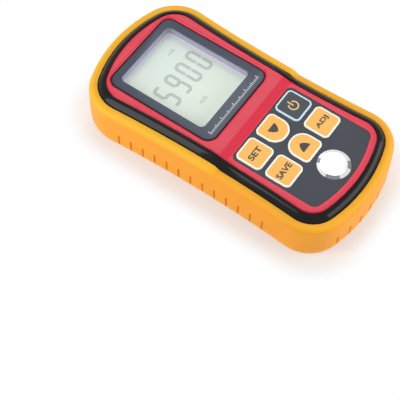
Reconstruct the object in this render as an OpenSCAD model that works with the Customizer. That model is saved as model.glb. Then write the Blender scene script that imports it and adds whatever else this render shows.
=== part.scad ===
// Hand-held ultrasonic thickness gauge in a protective boot, lying on its back.
// X runs across the face, Y towards the end with the probe sockets, Z out of the face.
// The origin lies on the resting plane, under the middle of the face.

/* [Face outline] */
// Length of the face plate
face_len = 131.6; // [129:0.2:136]
// Half the width of the face plate at its waist
waist_half = 27.5; // [27:0.1:29.5]
// Distance of the waist below the middle of the face
waist_drop = 6.9; // [4:0.1:9]
// Radius of the hollow long sides
side_r = 730; // [600:10:1000]
// Radius of the display end
top_r = 63; // [59:1:72]
// Radius of the corners at the display end
top_corner_r = 12.2; // [11:0.1:13]
// Radius of the keypad end
foot_r = 73; // [68:1:84]
// Radius of the corners at the keypad end
foot_corner_r = 10.1; // [9:0.1:11]

/* [Heights] */
// Height of the face above the resting plane, at the display
body_h = 29; // [28.5:0.1:32]
// Drop of the face from the display down to the keypad
step_h = 1.6; // [1:0.1:2]
// Distance of the ramp's upper edge below the middle of the face
ramp_drop = 6.9; // [6:0.1:7.5]
// Length of the ramp between display and keypad
ramp_len = 5.1; // [4:0.1:5.2]
// Height of the seam between the two case shells
seam_z = 14; // [12.5:0.1:15]

/* [Case] */
// Width of the case's shoulder that shows round the face plate
rim_w = 4; // [3.6:0.1:4.4]
// Depth of the case's shoulder
shoulder_h = 8; // [7:0.1:8.6]
// Wall thickness of the case shells
case_wall = 2; // [1.6:0.1:2.4]
// Edge radius of the rear case
case_edge_r = 3.5; // [2.8:0.1:4]
// Thickness of the face plate
plate_t = 1.9; // [1.6:0.1:2.2]
// Thickness of the deck under the face plate
deck_t = 1.6; // [1.2:0.1:2]
// Gap round pieces that lie in a recess
seat_gap = 0.1; // [0.05:0.01:0.15]
// Radius of the screw posts
post_r = 3.2; // [2.9:0.1:3.2]
// Sideways place of the posts at the display end
post_top_x = 20.5; // [20:0.1:21]
// Distance of the posts at the display end from the end of the face plate
post_top_in = 4; // [3.9:0.1:4.2]
// Sideways place of the posts at the keypad end
post_foot_x = 17; // [14:0.1:18]
// Distance of the posts at the keypad end from the end of the face plate
post_foot_in = 3.2; // [3:0.1:3.4]

/* [Boot] */
// Gap between boot and case
boot_fit = 0.1; // [0.05:0.01:0.2]
// Wall thickness of the boot
boot_wall = 3.8; // [3.4:0.1:4.2]
// Depth by which the boot's lip reaches over the case
lip_hook = 0.9; // [0.6:0.1:1.1]
// Distance of the lip's crest below the face
lip_drop = 2.8; // [2.4:0.1:3]
// Radius of the lip
lip_r = 2.7; // [2.2:0.1:3.2]
// Lean of the boot's wall between its foot and its lip
boot_lean = 0.4; // [0.2:0.1:0.6]
// Thickness of the boot's back
boot_back = 2; // [1.8:0.1:2.4]
// Edge radius round the boot's back
boot_edge_r = 6.5; // [5.5:0.1:7]
// Distance of the rear window inside the face outline
window_in = 2.5; // [1.6:0.1:2.6]
// Width of a grip notch
notch_w = 1.2; // [0.8:0.1:1.4]
// Spacing of the grip notches
notch_pitch = 6.93; // [6.5:0.01:7.2]
// Number of grip notches on a long side
notch_side_n = 13; // [5:2:13]
// Number of grip notches on the keypad end
notch_end_n = 7; // [3:2:7]
// Middle of the side rows above the middle of the face
notch_mid_y = 2.55; // [0:0.05:5]
// Height of the upper end of a notch
notch_top = 12.8; // [11:0.1:14]
// Height of the lower end of a notch
notch_low = 4.4; // [4:0.1:6]
// Depth of a notch's axis under the wall
notch_sink = 0.2; // [0:0.05:0.3]

/* [Display] */
// Width of the lens
lens_w = 48.4; // [47.6:0.1:49]
// Length of the lens
lens_len = 60.4; // [59.6:0.1:61]
// Middle of the lens above the middle of the face
lens_mid_y = 29.7; // [29.4:0.1:30]
// Corner radius of the lens
lens_r = 5; // [4:0.1:6]
// Distance of the lens below the face plate
lens_sink = 0.7; // [0.4:0.1:0.9]
// Width of the clear view
view_w = 39; // [38:0.1:39.6]
// Length of the clear view
view_len = 48.4; // [47:0.1:48.6]
// Middle of the clear view above the middle of the face
view_mid_y = 31.5; // [31:0.1:31.6]
// Depth of the display glass under the top of the lens
glass_depth = 5; // [4.6:0.1:5.4]
// Thickness of the display glass
glass_t = 2.4; // [2:0.1:2.6]
// Margin of the display glass round the view
glass_margin = 1.4; // [1:0.1:1.5]
// Room for the backlight panel under the display glass
panel_room = 2.1; // [1.8:0.1:2.2]
// Wall of the display frame round the view
frame_wall = 2.7; // [2.5:0.1:2.8]
// Width of a contact strip
strip_w = 2; // [1.6:0.1:2.4]

/* [Keypad] */
// Margin of the overlay beside the keys
overlay_side = 1.33; // [0.9:0.01:1.6]
// Distance of the overlay's upper edge below the ramp
overlay_gap = 0.2; // [0.1:0.05:0.4]
// Margin of the overlay below the test block
overlay_end = 1.68; // [1.2:0.01:2]
// Radius of the overlay's arched lower edge
overlay_foot_r = 67; // [60:1:80]
// Radius of the overlay's upper corners
overlay_r = 2.5; // [1.5:0.1:3.5]
// Radius of the overlay's lower corners
overlay_low_r = 4; // [3:0.1:5]
// Thickness of the overlay
overlay_t = 0.7; // [0.5:0.05:0.9]
// Distance of the overlay below the face plate
overlay_sink = 0.15; // [0.05:0.05:0.3]
// Width of a key
key_w = 13.8; // [13:0.1:14]
// Corner radius of a key
key_r = 2.5; // [1.5:0.1:3.5]
// Corner radius at the round end of an arrow key
arrow_r = 6.4; // [5:0.1:6.4]
// Spacing of the key columns
key_pitch = 16.27; // [16.1:0.01:16.4]
// Margin of the overlay above the keys
key_top = 0.8; // [0.5:0.05:1]
// Spacing of the key rows
key_row_pitch = 15.95; // [15.8:0.01:16.2]
// Height of a key above the overlay
key_rise = 0.4; // [0.3:0.05:0.6]
// Gap between a key and its windows
key_gap = 0.25; // [0.15:0.01:0.3]
// Width of the flange that holds a key in
key_flange = 0.8; // [0.6:0.05:0.9]
// Thickness of that flange
key_flange_t = 1; // [0.8:0.05:1.2]
// Travel of a key
key_travel = 0.4; // [0.2:0.05:0.45]
// Width of a switch under a key
switch_w = 6; // [5:0.1:7]
// Radius of a switch's plunger
plunger_r = 1.7; // [1.3:0.1:2]
// Gap round a plunger
plunger_fit = 0.1; // [0.05:0.01:0.2]

/* [Test block] */
// Radius of the test block
block_r = 8.07; // [7:0.01:8.3]
// Thickness of the test block
block_t = 4; // [3:0.1:4.4]
// Distance of the test block below the keys
block_gap = 1.73; // [1.5:0.01:1.9]
// Height of the test block above the face plate
block_rise = 0.3; // [0.1:0.05:0.6]
// Bevel round the test block
block_bevel = 1.3; // [0.8:0.1:1.6]

/* [Battery] */
// Radius of a cell
cell_r = 5.25; // [5:0.05:5.3]
// Length of a cell with its cap
cell_len = 44.5; // [43:0.1:44.8]
// Number of cells
cell_n = 4; // [3:1:4]
// Gap between cells
cell_gap = 0.25; // [0.15:0.01:0.3]
// Length of a pressed spring
spring_len = 4.6; // [4:0.1:4.8]
// Radius of the spring wire
wire_r = 0.3; // [0.2:0.05:0.4]
// Thickness of a contact plate
contact_t = 0.4; // [0.3:0.05:0.5]
// Middle of the battery bay below the middle of the face
bay_drop = 31.5; // [31:0.1:31.6]
// Wall thickness of the battery bay
bay_wall = 1.5; // [1.2:0.1:1.5]
// Thickness of the battery door
door_t = 1.8; // [1.6:0.1:1.9]
// Gap round the battery door
door_gap = 0.3; // [0.2:0.05:0.35]
// Width of the ledge that the battery door lies on
door_ledge = 1; // [0.8:0.1:1.1]
// Width of a door tab
tab_w = 7; // [5:0.1:8]
// Length of a door tab
tab_len = 2; // [1.6:0.1:2.2]
// Sideways place of the door tabs
tab_x = 12; // [9:0.1:14]

/* [Board] */
// Width of the main board
board_w = 56.8; // [56.4:0.1:58]
// Thickness of the main board
board_t = 1.6; // [1.2:0.1:1.8]
// Upper end of the main board above the middle of the face
board_top_y = 52; // [51:0.1:54]
// Lower end of the main board below the middle of the face
board_foot_y = 57.5; // [55:0.1:58]
// Gap between the battery bay and the main board
board_gap = 0.8; // [0.6:0.1:0.9]
// Sideways place of the board pillars
pillar_x = 26.2; // [26:0.05:26.3]
// Radius of a board pillar
pillar_r = 2.2; // [1.8:0.1:2.2]
// Upper pillars above the middle of the face
pillar_top_y = 48; // [46:0.1:49]
// Lower pillars below the middle of the face
pillar_foot_y = 49.5; // [48.8:0.1:52]

/* [Probe sockets] */
// Sideways place of a probe socket
socket_x = 9.5; // [8.6:0.1:10]
// Radius of a socket's barrel
socket_r = 4; // [3.6:0.1:4.2]
// Radius of a socket's flange
socket_flange_r = 5.2; // [5:0.1:5.4]
// Thickness of a socket's flange
socket_flange_t = 1.2; // [0.8:0.1:1.4]
// Radius of a socket's bore
socket_bore_r = 2.5; // [2:0.1:2.8]
// Depth of a socket's bore
socket_bore_len = 6.5; // [5:0.1:8]
// Length of a socket's nose beyond its flange
socket_nose = 3.5; // [3:0.1:3.7]
// Thickness of a socket's nut
nut_t = 2.2; // [1.8:0.1:2.5]

/* [Screws] */
// Radius of a case screw
screw_r = 1.35; // [1.2:0.05:1.5]
// Radius of a case screw's head
screw_head_r = 2.3; // [2.1:0.05:2.4]
// Height of a case screw's head
screw_head_h = 2; // [1.5:0.1:2.4]
// Radius of a board screw
board_screw_r = 1; // [0.8:0.05:1.2]
// Radius of a board screw's head
board_head_r = 1.9; // [1.6:0.05:2]
// Height of a board screw's head
board_head_h = 1.4; // [1:0.1:1.6]
// Gap round a screw
screw_gap = 0.15; // [0.08:0.01:0.2]

/* [Hidden] */
$fn = 48;

// Small clearances and overlaps
touch = 0.05;
bite = 0.6;
over = 1;

// Outline of the face: end arcs, corner arcs and hollow sides
face_half = face_len / 2;
side_c = [waist_half + side_r, -waist_drop];
top_c = [0, face_half - top_r];
foot_c = [0, foot_r - face_half];
top_corner = meet(top_c, top_r - top_corner_r, side_c, side_r + top_corner_r, -1);
foot_corner = meet(foot_c, foot_r - foot_corner_r, side_c, side_r + foot_corner_r, 1);
top_turn = heading(top_corner - top_c);
foot_turn = heading(foot_corner - foot_c);
top_side = heading(side_c - top_corner);
foot_side = heading(side_c - foot_corner);
side_top_y = top_corner.y + top_corner_r * sin(top_side);
side_foot_y = foot_corner.y + foot_corner_r * sin(foot_side);
ramp_top_y = -ramp_drop;
ramp_foot_y = -ramp_drop - ramp_len;
side_ys = concat(
    steps(side_foot_y, ramp_foot_y, 3),
    steps(ramp_foot_y, ramp_top_y, 3),
    steps(ramp_top_y, side_top_y, 3)
);
right_side = concat(
    arc(foot_c, foot_r, -90, foot_turn, 3),
    arc(foot_corner, foot_corner_r, foot_turn, foot_side, 5),
    [for (y = side_ys) side_station(y)],
    arc(top_corner, top_corner_r, top_side, top_turn, 5),
    arc(top_c, top_r, top_turn, 90, 3),
    [[[0, face_half], [0, 1]]]
);
half_n = len(right_side);
left_side = [for (i = [half_n - 2 : -1 : 1]) [for (v = right_side[i]) [-v.x, v.y]]];
rim = concat(right_side, left_side);
rim_n = len(rim);

// Offsets of the case and the boot from the face outline
case_u = rim_w + lip_hook;
case_in_u = case_u - case_wall;
boot_in_u = case_u + boot_fit;
boot_u = boot_in_u + boot_wall;
lip_u = boot_u - boot_lean;

// Heights of the stack, from the back to the face
floor_z = boot_back + case_wall;
low_z = body_h - step_h;
deck_low = plate_t + deck_t;
deck_under_z = low_z - deck_low;
door_top_z = boot_back + door_t;
under_cells = door_top_z + 6 * touch;
over_cells = 6 * touch + bay_wall + board_gap + board_t + panel_room + glass_t + glass_depth + lens_sink;
// Height that a thin body lacks, shared by the cells and by the room over and under the display glass
lack = max(0, under_cells + 2 * cell_r + over_cells - body_h);
cell_share = 0.7;
cell_fit_r = cell_r - cell_share * lack / 2;
cell_z = under_cells + cell_fit_r;
bay_top_z = cell_z + cell_fit_r + 6 * touch;
bay_roof_z = bay_top_z + bay_wall;
board_under_z = bay_roof_z + board_gap;
board_z = board_under_z + board_t;
lens_under_z = body_h - plate_t;
glass_z = body_h - lens_sink - glass_depth + (1 - cell_share) * lack / 2;
glass_under_z = glass_z - glass_t;
overlay_z = low_z - overlay_sink;
flange_z = deck_under_z - touch;
flange_under_z = flange_z - key_flange_t;
stem_len = 0.4;
stem_r = 2.2;
plunger_z = flange_under_z - stem_len;
switch_z = plunger_z - key_travel - 3 * touch;
plunger_in = 1.2;
block_z = low_z + block_rise;
block_under_z = block_z - block_t;

// Keypad and test block, one below the other
overlay_w = 2 * (key_pitch + overlay_side) + key_w;
overlay_top = ramp_drop + ramp_len + overlay_gap;
key_row_drop = overlay_top + key_top + key_w / 2;
block_drop = key_row_drop + key_row_pitch + key_w / 2 + block_gap + block_r;
overlay_low = block_drop + block_r + overlay_end;

// Places that repeat
KEY_SPEED = [-1, 0, key_r, key_r];
KEY_DOWN = [0, 0, key_r, arrow_r];
KEY_POWER = [1, 0, key_r, key_r];
KEY_SAVE = [-1, 1, key_r, key_r];
KEY_UP = [0, 1, arrow_r, key_r];
KEY_ADJUST = [1, 1, key_r, key_r];
KEYS = [KEY_SPEED, KEY_DOWN, KEY_POWER, KEY_SAVE, KEY_UP, KEY_ADJUST];
sides = [-1, 1];
posts = [for (s = sides) each [
    [s * post_top_x, face_half - post_top_in],
    [s * post_foot_x, post_foot_in - face_half]
]];
pillars = [for (s = sides) each [[s * pillar_x, pillar_top_y], [s * pillar_x, -pillar_foot_y]]];

// Battery bay, its door and the cells
cell_pitch = 2 * cell_fit_r + cell_gap;
bay_w = cell_n * cell_pitch + cell_gap;
bay_len = cell_len + spring_len + 2 * contact_t + 6 * touch;
bay_foot_y = -bay_drop - bay_len / 2;
bay_top_y = -bay_drop + bay_len / 2;
door_w = bay_w + 2 * door_ledge;
door_len = bay_len + 2 * door_ledge;
door_foot_y = -bay_drop - door_len / 2;
door_r = 2;
hinge_y = door_foot_y + door_t / 2;
hinge_z = boot_back + door_t / 2;
hinge_r = door_t / 2 - touch;
tab_t = door_t / 2 - touch;
tab_z = door_top_z - tab_t;
tab_room = 2;
cap_len = 0.8;
cap_r = 1.9;
contact_share = 12 / 7;
contact_w = contact_share * cell_fit_r;
spring_share = 64 / 105;
spring_r = spring_share * cell_fit_r;
spring_turns = 3;
spring_steps = 10;

// Probe sockets in the display end
spot_r = socket_flange_r + 5 * touch;
boss_wall = 0.9;
boss_len = 3.2;
boss_r = spot_r + boss_wall;
spot_y = top_c.y + sqrt(pow(top_r + case_u, 2) - pow(socket_x + spot_r, 2)) - touch;
boss_out_y = top_c.y + sqrt(pow(top_r + case_u, 2) - pow(socket_x + boss_r, 2)) - 3 * touch;
boss_in_y = boss_out_y - boss_len;
socket_tail = 2;
socket_in_y = boss_in_y - nut_t - socket_tail;
nose_y = spot_y + socket_flange_t + socket_nose;
bore_y = nose_y - socket_bore_len;
insert_r = 1.8;
contact_hole_r = 0.5;
contact_hole_len = 3;

// Board and the parts on it: place, width, length, corner radius and height of each chip
board_r = 2;
view_r = 2;
part_r = 0.4;
CHIPS = [[[-9, 24], 12, 12, 0.4, 1.6], [[9, 34], 8, 5, 0.4, 1.5], [[-9, 8], 10.5, 4, 1.9, 3.5]];
CAPACITORS = [[10, 12], [18, 20]];
capacitor_r = 3.1;
capacitor_h = 7;

// Screws
screw_seat_z = floor_z + screw_head_h + over;
screw_len = 12;
board_screw_len = 4;

function heading(v) = atan2(v.y, v.x);
function steps(a, b, n) = [for (i = [0 : n - 1]) a + (b - a) * i / n];
function smooth(t) = let (s = min(1, max(0, t))) s * s * (3 - 2 * s);

// Height of the face at a given place along the body
function face_z(y) = low_z + step_h * smooth((y - ramp_foot_y) / ramp_len);

// Point at distance ra from a and rb from b, to the right of the line from a to b where turn is 1
function meet(a, ra, b, rb, turn) =
    let (d = norm(b - a))
    let (along = (ra * ra - rb * rb + d * d) / (2 * d))
    let (off = sqrt(ra * ra - along * along))
    let (e = (b - a) / d)
    a + along * e + turn * off * [e.y, -e.x];

// Stations of the outline: a point and its outward direction
function arc(c, r, a0, a1, n) =
    [for (a = steps(a0, a1, n)) let (d = [cos(a), sin(a)]) [c + r * d, d]];
function side_station(y) =
    let (s = (y - side_c.y) / side_r, d = [sqrt(1 - s * s), -s])
    [side_c - side_r * d, d];
function foot_station(x) =
    let (s = x / foot_r, d = [s, -sqrt(1 - s * s)])
    [foot_c + foot_r * d, d];

// A ring is an offset from the outline, a height, and whether the height counts from the face
function on_face(u, z) = [u, z, true];
function level(u, z) = [u, z, false];
function ring_point(station, ring) =
    let (p = station[0] + ring[0] * station[1])
    [p.x, p.y, ring[1] + (ring[2] ? face_z(p.y) : 0)];

// Quarter-ellipse shoulder of the case, grown by a gap
function shoulder(a, gap) = on_face((case_u + gap) * sin(a), gap - shoulder_h * (1 - cos(a)));

// Rings of a rounded edge between two angles
function edge_rings(u, z, r, a0, a1, n) =
    [for (a = concat(steps(a0, a1, n), [a1])) level(u + r * cos(a), z + r * sin(a))];

// Outline with round corners, the upper and lower ones of different radius
function round_box(w, h, r_top, r_low) =
    [for (q = [0 : 3])
        let (r = q < 2 ? r_top : r_low)
        let (cx = (q == 0 || q == 3 ? 1 : -1) * (w / 2 - r))
        let (cy = (q < 2 ? 1 : -1) * (h / 2 - r))
        for (a = [90 * q : 15 : 90 * q + 90]) [cx + r * cos(a), cy + r * sin(a)]];

// Outline of the keypad overlay, grown by a gap
function overlay_outline(gap) =
    let (w = overlay_w / 2 + gap, t = gap - overlay_top)
    let (r = overlay_low_r + gap, big = overlay_foot_r + gap)
    let (c = [0, overlay_foot_r - overlay_low])
    let (cx = w - r, cy = c.y - sqrt(pow(big - r, 2) - cx * cx))
    let (turn = heading([cx, cy] - c))
    let (foot = [for (a = concat(steps(-180 - turn, turn, 8), [turn])) c + big * [cos(a), sin(a)]])
    let (low = [for (a = steps(turn, 0, 5)) [cx, cy] + r * [cos(a), sin(a)]])
    let (top = [for (a = [0 : 15 : 90]) [w - overlay_r, t - overlay_r] + overlay_r * [cos(a), sin(a)]])
    let (right = concat([for (i = [1 : 4]) low[i]], [[w, cy]], top))
    concat(foot, right, [for (i = [len(right) - 1 : -1 : 0]) [-right[i].x, right[i].y]]);

// Skin through a row of rings round the outline, closed on itself or capped at both ends
module skin(rings, closed) {
    last = len(rings) - 1;
    walls = [for (i = [0 : closed ? last : last - 1]) for (j = [0 : rim_n - 1])
        let (k = (i + 1) % len(rings) * rim_n, m = (j + 1) % rim_n, i0 = i * rim_n)
        each [[i0 + j, k + j, k + m], [i0 + j, k + m, i0 + m]]];
    caps = [for (j = [0 : half_n - 2])
        let (r0 = j, r1 = j + 1, l0 = (rim_n - j) % rim_n, l1 = rim_n - j - 1)
        each [if (l1 != r1) [r0, r1, l1], if (j > 0) [r0, l1, l0]]];
    top = [for (f = caps) [for (i = [2 : -1 : 0]) f[i] + last * rim_n]];
    polyhedron(
        [for (r = rings) for (s = rim) ring_point(s, r)],
        closed ? walls : concat(walls, caps, top)
    );
}

module slab(outline, z0, z1) {
    translate([0, 0, z0]) linear_extrude(z1 - z0) polygon(outline);
}

// Round bar along Y
module bar(r, y0, y1) {
    translate([0, y0, 0]) rotate([-90, 0, 0]) cylinder(h = y1 - y0, r = r);
}

// Upright pin
module pin(r, z0, z1) {
    translate([0, 0, z0]) cylinder(h = z1 - z0, r = r);
}

module at(places) {
    for (p = places) translate(p) children();
}

module at_key(key) {
    translate([key[0] * key_pitch, -key_row_drop - key[1] * key_row_pitch]) children();
}

module at_sockets() {
    for (s = sides) translate([s * socket_x, 0, seam_z]) children();
}

function key_outline(key, grow) = round_box(key_w + 2 * grow, key_w + 2 * grow, key[2] + grow, key[3] + grow);

// Windows for the six keys
module key_windows(z0, z1) {
    for (key = KEYS) at_key(key) slab(key_outline(key, key_gap), z0, z1);
}

// Cell places across the battery bay, with the end that carries the spring
module at_cells() {
    for (i = [0 : cell_n - 1])
        translate([(i - (cell_n - 1) / 2) * cell_pitch, -bay_drop, cell_z])
            mirror([0, i % 2, 0])
                children();
}

// Boot: one soft moulding with a lip over the case, grip notches and a rear window
module protective_boot() {
    lip_a = asin(rim_w / case_u);
    fit_r = case_edge_r + boot_fit;
    rings = concat(
        [level(-window_in, boot_back / 3), level(boot_back / 3 - window_in, 0)],
        edge_rings(boot_u - boot_edge_r, boot_edge_r, boot_edge_r, -90, 0, 4),
        [for (a = [0 : 22.5 : 90])
            on_face(lip_u - lip_r * (1 - cos(a)), lip_r * (sin(a) - 1) - lip_drop)],
        [on_face(rim_w + 5 * touch, -lip_drop - touch), on_face(rim_w + touch, -lip_drop - 5 * touch)],
        [for (a = [lip_a + 1, (lip_a + 90) / 2, 90]) shoulder(a, boot_fit)],
        [for (r = edge_rings(case_u - case_edge_r, boot_back + case_edge_r, fit_r, 0, -90, 3))
            level(r[0], max(r[1], boot_back))],
        [level(-window_in, boot_back)]
    );
    color("#ffab1f") difference() {
        skin(rings, true);
        for (i = [0 : notch_side_n - 1], s = sides)
            notch(side_station(notch_mid_y + (i - (notch_side_n - 1) / 2) * notch_pitch), s);
        for (i = [0 : notch_end_n - 1])
            notch(foot_station((i - (notch_end_n - 1) / 2) * notch_pitch), 1);
        at_sockets() bar(spot_r + 5 * touch, face_half - over, face_half + boot_u + over);
    }
}

// Grip notch: an upright groove in the foot of the boot's wall
module notch(station, side) {
    p = station[0] + (boot_u - notch_sink) * station[1];
    translate([side * p.x, p.y]) pin(notch_w / 2, notch_low, notch_top);
}

// Front shell: rounded shoulder, deck under the face plate, posts, pillars and the test block's cup
module front_case() {
    haunch_h = 3;
    lead_in = 0.3;
    rings = concat(
        [on_face(case_in_u - case_wall, -deck_low), on_face(case_in_u, -deck_low - haunch_h)],
        [level(case_in_u, seam_z), level(case_u, seam_z)],
        [for (a = [90 : -15 : 15]) shoulder(a, 0)],
        [shoulder(5, 0), on_face(0, -lead_in), on_face(0, -plate_t)]
    );
    cup_r = block_r + seat_gap;
    color("#17181b") difference() {
        union() {
            skin(rings, false);
            for (p = posts) translate(p) pin(post_r, seam_z, face_z(p.y) - deck_low + bite);
            for (p = pillars) translate(p) pin(pillar_r, board_z, face_z(p.y) - deck_low + bite);
            difference() {
                translate([0, -block_drop])
                    pin(cup_r + case_wall, block_under_z - case_wall, deck_under_z + bite);
                flange_rooms();
            }
            at_sockets() intersection() {
                bar(boss_r, boss_in_y, boss_out_y);
                translate([-boss_r, boss_in_y - over, 0]) cube(2 * boss_r);
            }
        }
        translate([0, view_mid_y]) slab(frame_outline(seat_gap), glass_under_z, body_h);
        key_windows(deck_under_z - over, body_h);
        translate([0, -block_drop]) pin(cup_r, block_under_z, body_h);
        at(posts) pin(screw_r + screw_gap, seam_z - over, screw_seat_z + screw_len + over);
        at(pillars) pin(board_screw_r + screw_gap, board_z - over, board_z + board_screw_len);
        socket_cuts();
    }
}

// Room beside the test block's cup in which the key flanges move
module flange_rooms() {
    room_z = flange_under_z - key_travel - 4 * touch;
    for (key = KEYS) at_key(key) slab(key_outline(key, key_flange + key_gap), room_z, deck_under_z + over);
}

// Bore and spot face for each probe socket
module socket_cuts() {
    at_sockets() {
        bar(socket_r + seat_gap, boss_in_y - over, spot_y + over);
        bar(spot_r, spot_y, spot_y + boot_u);
    }
}

// Face plate: stepped sheet with the lens opening and the overlay's pocket
module face_plate() {
    edge_r = 0.5;
    cut_z = low_z - 4 * over;
    rings = concat(
        [on_face(-seat_gap, -plate_t)],
        [for (a = [0 : 30 : 90]) on_face(-seat_gap - edge_r * (1 - cos(a)), edge_r * (sin(a) - 1))]
    );
    color("#e4344f") difference() {
        skin(rings, false);
        translate([0, lens_mid_y])
            slab(lens_outline(seat_gap), cut_z, body_h + over);
        slab(overlay_outline(seat_gap), overlay_z - overlay_t, body_h + over);
        key_windows(cut_z, body_h);
        translate([0, -block_drop]) pin(block_r + seat_gap, cut_z, body_h);
    }
}

module display_lens() {
    color("#46505c", 0.6) translate([0, lens_mid_y])
        slab(lens_outline(0), lens_under_z, body_h - lens_sink);
}

function lens_outline(grow) = round_box(lens_w + 2 * grow, lens_len + 2 * grow, lens_r, lens_r);
function view_outline(grow) = round_box(view_w + 2 * grow, view_len + 2 * grow, view_r, view_r);
function frame_outline(grow) = view_outline(frame_wall + grow);
function glass_outline(grow) = view_outline(glass_margin + grow);

// Frame whose walls show between the lens and the display glass
module display_frame() {
    color("#9b98b0") translate([0, view_mid_y]) difference() {
        slab(frame_outline(0), board_z, lens_under_z - touch);
        slab(view_outline(seat_gap * 4), board_z, body_h);
        slab(glass_outline(seat_gap), board_z - over, glass_z);
    }
}

module display_glass() {
    color("#d6e2d2") translate([0, view_mid_y]) slab(glass_outline(0), glass_under_z, glass_z);
}

module backlight_panel() {
    len_in = view_len + 2 * glass_margin - 2 * strip_w - 4 * touch;
    color("#eef2ea") translate([0, view_mid_y])
        slab(round_box(view_w, len_in, view_r, view_r), board_z, glass_under_z);
}

// Two rubber strips that join the display glass to the board
module contact_strips() {
    strip_y = view_len / 2 + glass_margin - strip_w / 2 - touch;
    color("#d98fa0") for (s = sides)
        translate([0, view_mid_y + s * strip_y])
            slab(round_box(view_w, strip_w, part_r, part_r), board_z, glass_under_z);
}

module main_board() {
    board_len = board_top_y + board_foot_y;
    color("#1f7a4a") difference() {
        translate([0, (board_top_y - board_foot_y) / 2])
            slab(round_box(board_w, board_len, board_r, board_r), board_under_z, board_z);
        at(pillars) pin(board_screw_r + screw_gap, board_under_z - over, board_z + over);
    }
}

// Processor, driver, crystal and the two pulse capacitors under the board
module board_parts() {
    color("#2a2a2e") {
        for (c = CHIPS) translate(c[0])
            slab(round_box(c[1], c[2], c[3], c[3]), board_under_z - c[4], board_under_z);
        at(CAPACITORS) pin(capacitor_r, board_under_z - capacitor_h, board_under_z);
    }
}

// Switch bodies on the board, one under each key, open at the top for the plunger
module switch_bodies() {
    color("#3a3d42") for (key = KEYS) at_key(key) difference() {
        slab(round_box(switch_w, switch_w, part_r, part_r), board_z, switch_z);
        pin(plunger_r + plunger_fit, switch_z - plunger_in - key_travel - 2 * touch, switch_z + over);
    }
}

module plunger(key) {
    color("#b9bcc2") at_key(key) pin(plunger_r, switch_z - plunger_in, plunger_z);
}

// Key: a cap through the overlay, a flange under the deck and a stem on the plunger
module key(key, tint) {
    color(tint) at_key(key) {
        slab(key_outline(key, 0), flange_z, overlay_z + key_rise);
        slab(key_outline(key, key_flange), flange_under_z, flange_z);
        pin(stem_r, plunger_z, flange_under_z);
    }
}

module keypad_overlay() {
    color("#4a4f59") difference() {
        slab(overlay_outline(0), overlay_z - overlay_t, overlay_z);
        key_windows(overlay_z - over, body_h);
        translate([0, -block_drop]) pin(block_r + seat_gap, overlay_z - over, body_h);
    }
}

// Steel disc of known thickness, bevelled round its upper edge
module test_block() {
    color("#d7dade") translate([0, -block_drop]) rotate_extrude() polygon([
        [0, block_under_z], [block_r, block_under_z], [block_r, block_z - block_bevel],
        [block_r - block_bevel, block_z], [0, block_z]
    ]);
}

// Rear shell: tray with screw posts, socket bosses and the battery bay
module rear_case() {
    tray_slope = 1.5;
    bay_r = 1;
    rings = concat(
        edge_rings(case_u - case_edge_r, boot_back + case_edge_r, case_edge_r, -90, 0, 3),
        [level(case_u, seam_z), level(case_in_u, seam_z)],
        [level(case_in_u, boot_back + case_edge_r), level(case_in_u - tray_slope, floor_z)]
    );
    bay_out_w = bay_w + 2 * bay_wall;
    bay_out_len = bay_len + 2 * bay_wall;
    color("#1d1e22") difference() {
        union() {
            skin(rings, false);
            at(posts) pin(post_r, floor_z - bite, seam_z);
            translate([0, -bay_drop])
                slab(round_box(bay_out_w, bay_out_len, bay_r, bay_r), floor_z - bite, bay_roof_z);
            at_sockets() intersection() {
                bar(boss_r, boss_in_y, boss_out_y);
                translate([-boss_r, boss_in_y - over, -2 * boss_r]) cube(2 * boss_r);
            }
        }
        translate([-bay_w / 2, bay_foot_y, boot_back - over])
            cube([bay_w, bay_len, bay_top_z - boot_back + over]);
        translate([0, -bay_drop])
            slab(door_outline(door_gap), boot_back - over, door_top_z + touch);
        for (s = sides) translate([s * tab_x, door_foot_y])
            door_tab_room();
        at(posts) {
            pin(screw_r + screw_gap, boot_back - over, seam_z + over);
            pin(screw_head_r + screw_gap, boot_back - over, screw_seat_z);
        }
        socket_cuts();
    }
}

function door_outline(grow) = round_box(door_w + 2 * grow, door_len + 2 * grow, door_r, door_r);

// Pocket in which a door tab tips as the door opens
module door_tab_room() {
    room_w = tab_w + 8 * touch;
    translate([-room_w / 2, -tab_len - door_gap, tab_z - touch])
        cube([room_w, tab_len + door_gap + door_ledge + touch, tab_t + tab_room]);
}

// Battery door: plate with a hinge bead and two tabs at its foot, and a ribbed spring tongue
module battery_door() {
    tongue_w = 14;
    slit_w = 0.8;
    slit_len = 8;
    rib_w = 1;
    rib_margin = 2;
    color("#232428") difference() {
        union() {
            difference() {
                translate([0, -bay_drop]) slab(door_outline(0), boot_back, door_top_z);
                translate([-door_w, hinge_y - door_w, 0]) cube([2 * door_w, door_w, door_top_z + over]);
            }
            translate([0, hinge_y, hinge_z]) rotate([0, 90, 0])
                cylinder(h = door_w - 2 * door_r, r = hinge_r, center = true);
            for (s = sides) translate([s * tab_x - tab_w / 2, door_foot_y - tab_len, tab_z])
                cube([tab_w, hinge_y - door_foot_y + tab_len + over, tab_t]);
        }
        for (s = sides)
            translate([s * tongue_w / 2 - slit_w / 2, door_foot_y + door_len - slit_len, boot_back - over])
                cube([slit_w, slit_len + over, door_t + 2 * over]);
        for (i = [0 : 2])
            translate([0, door_foot_y + door_len - rib_margin - 2 * i * rib_w, boot_back])
                rotate([0, 90, 0]) cylinder(h = tongue_w - 2 * rib_margin, r = rib_w / 2, center = true);
    }
}

module battery_cells() {
    cap_end_y = bay_len / 2 - contact_t - touch;
    color("#c8a24a") at_cells() {
        bar(cell_fit_r, -bay_len / 2 + contact_t + spring_len + touch, cap_end_y - cap_len);
        bar(cap_r, cap_end_y - cap_len - over, cap_end_y);
    }
}

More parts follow.
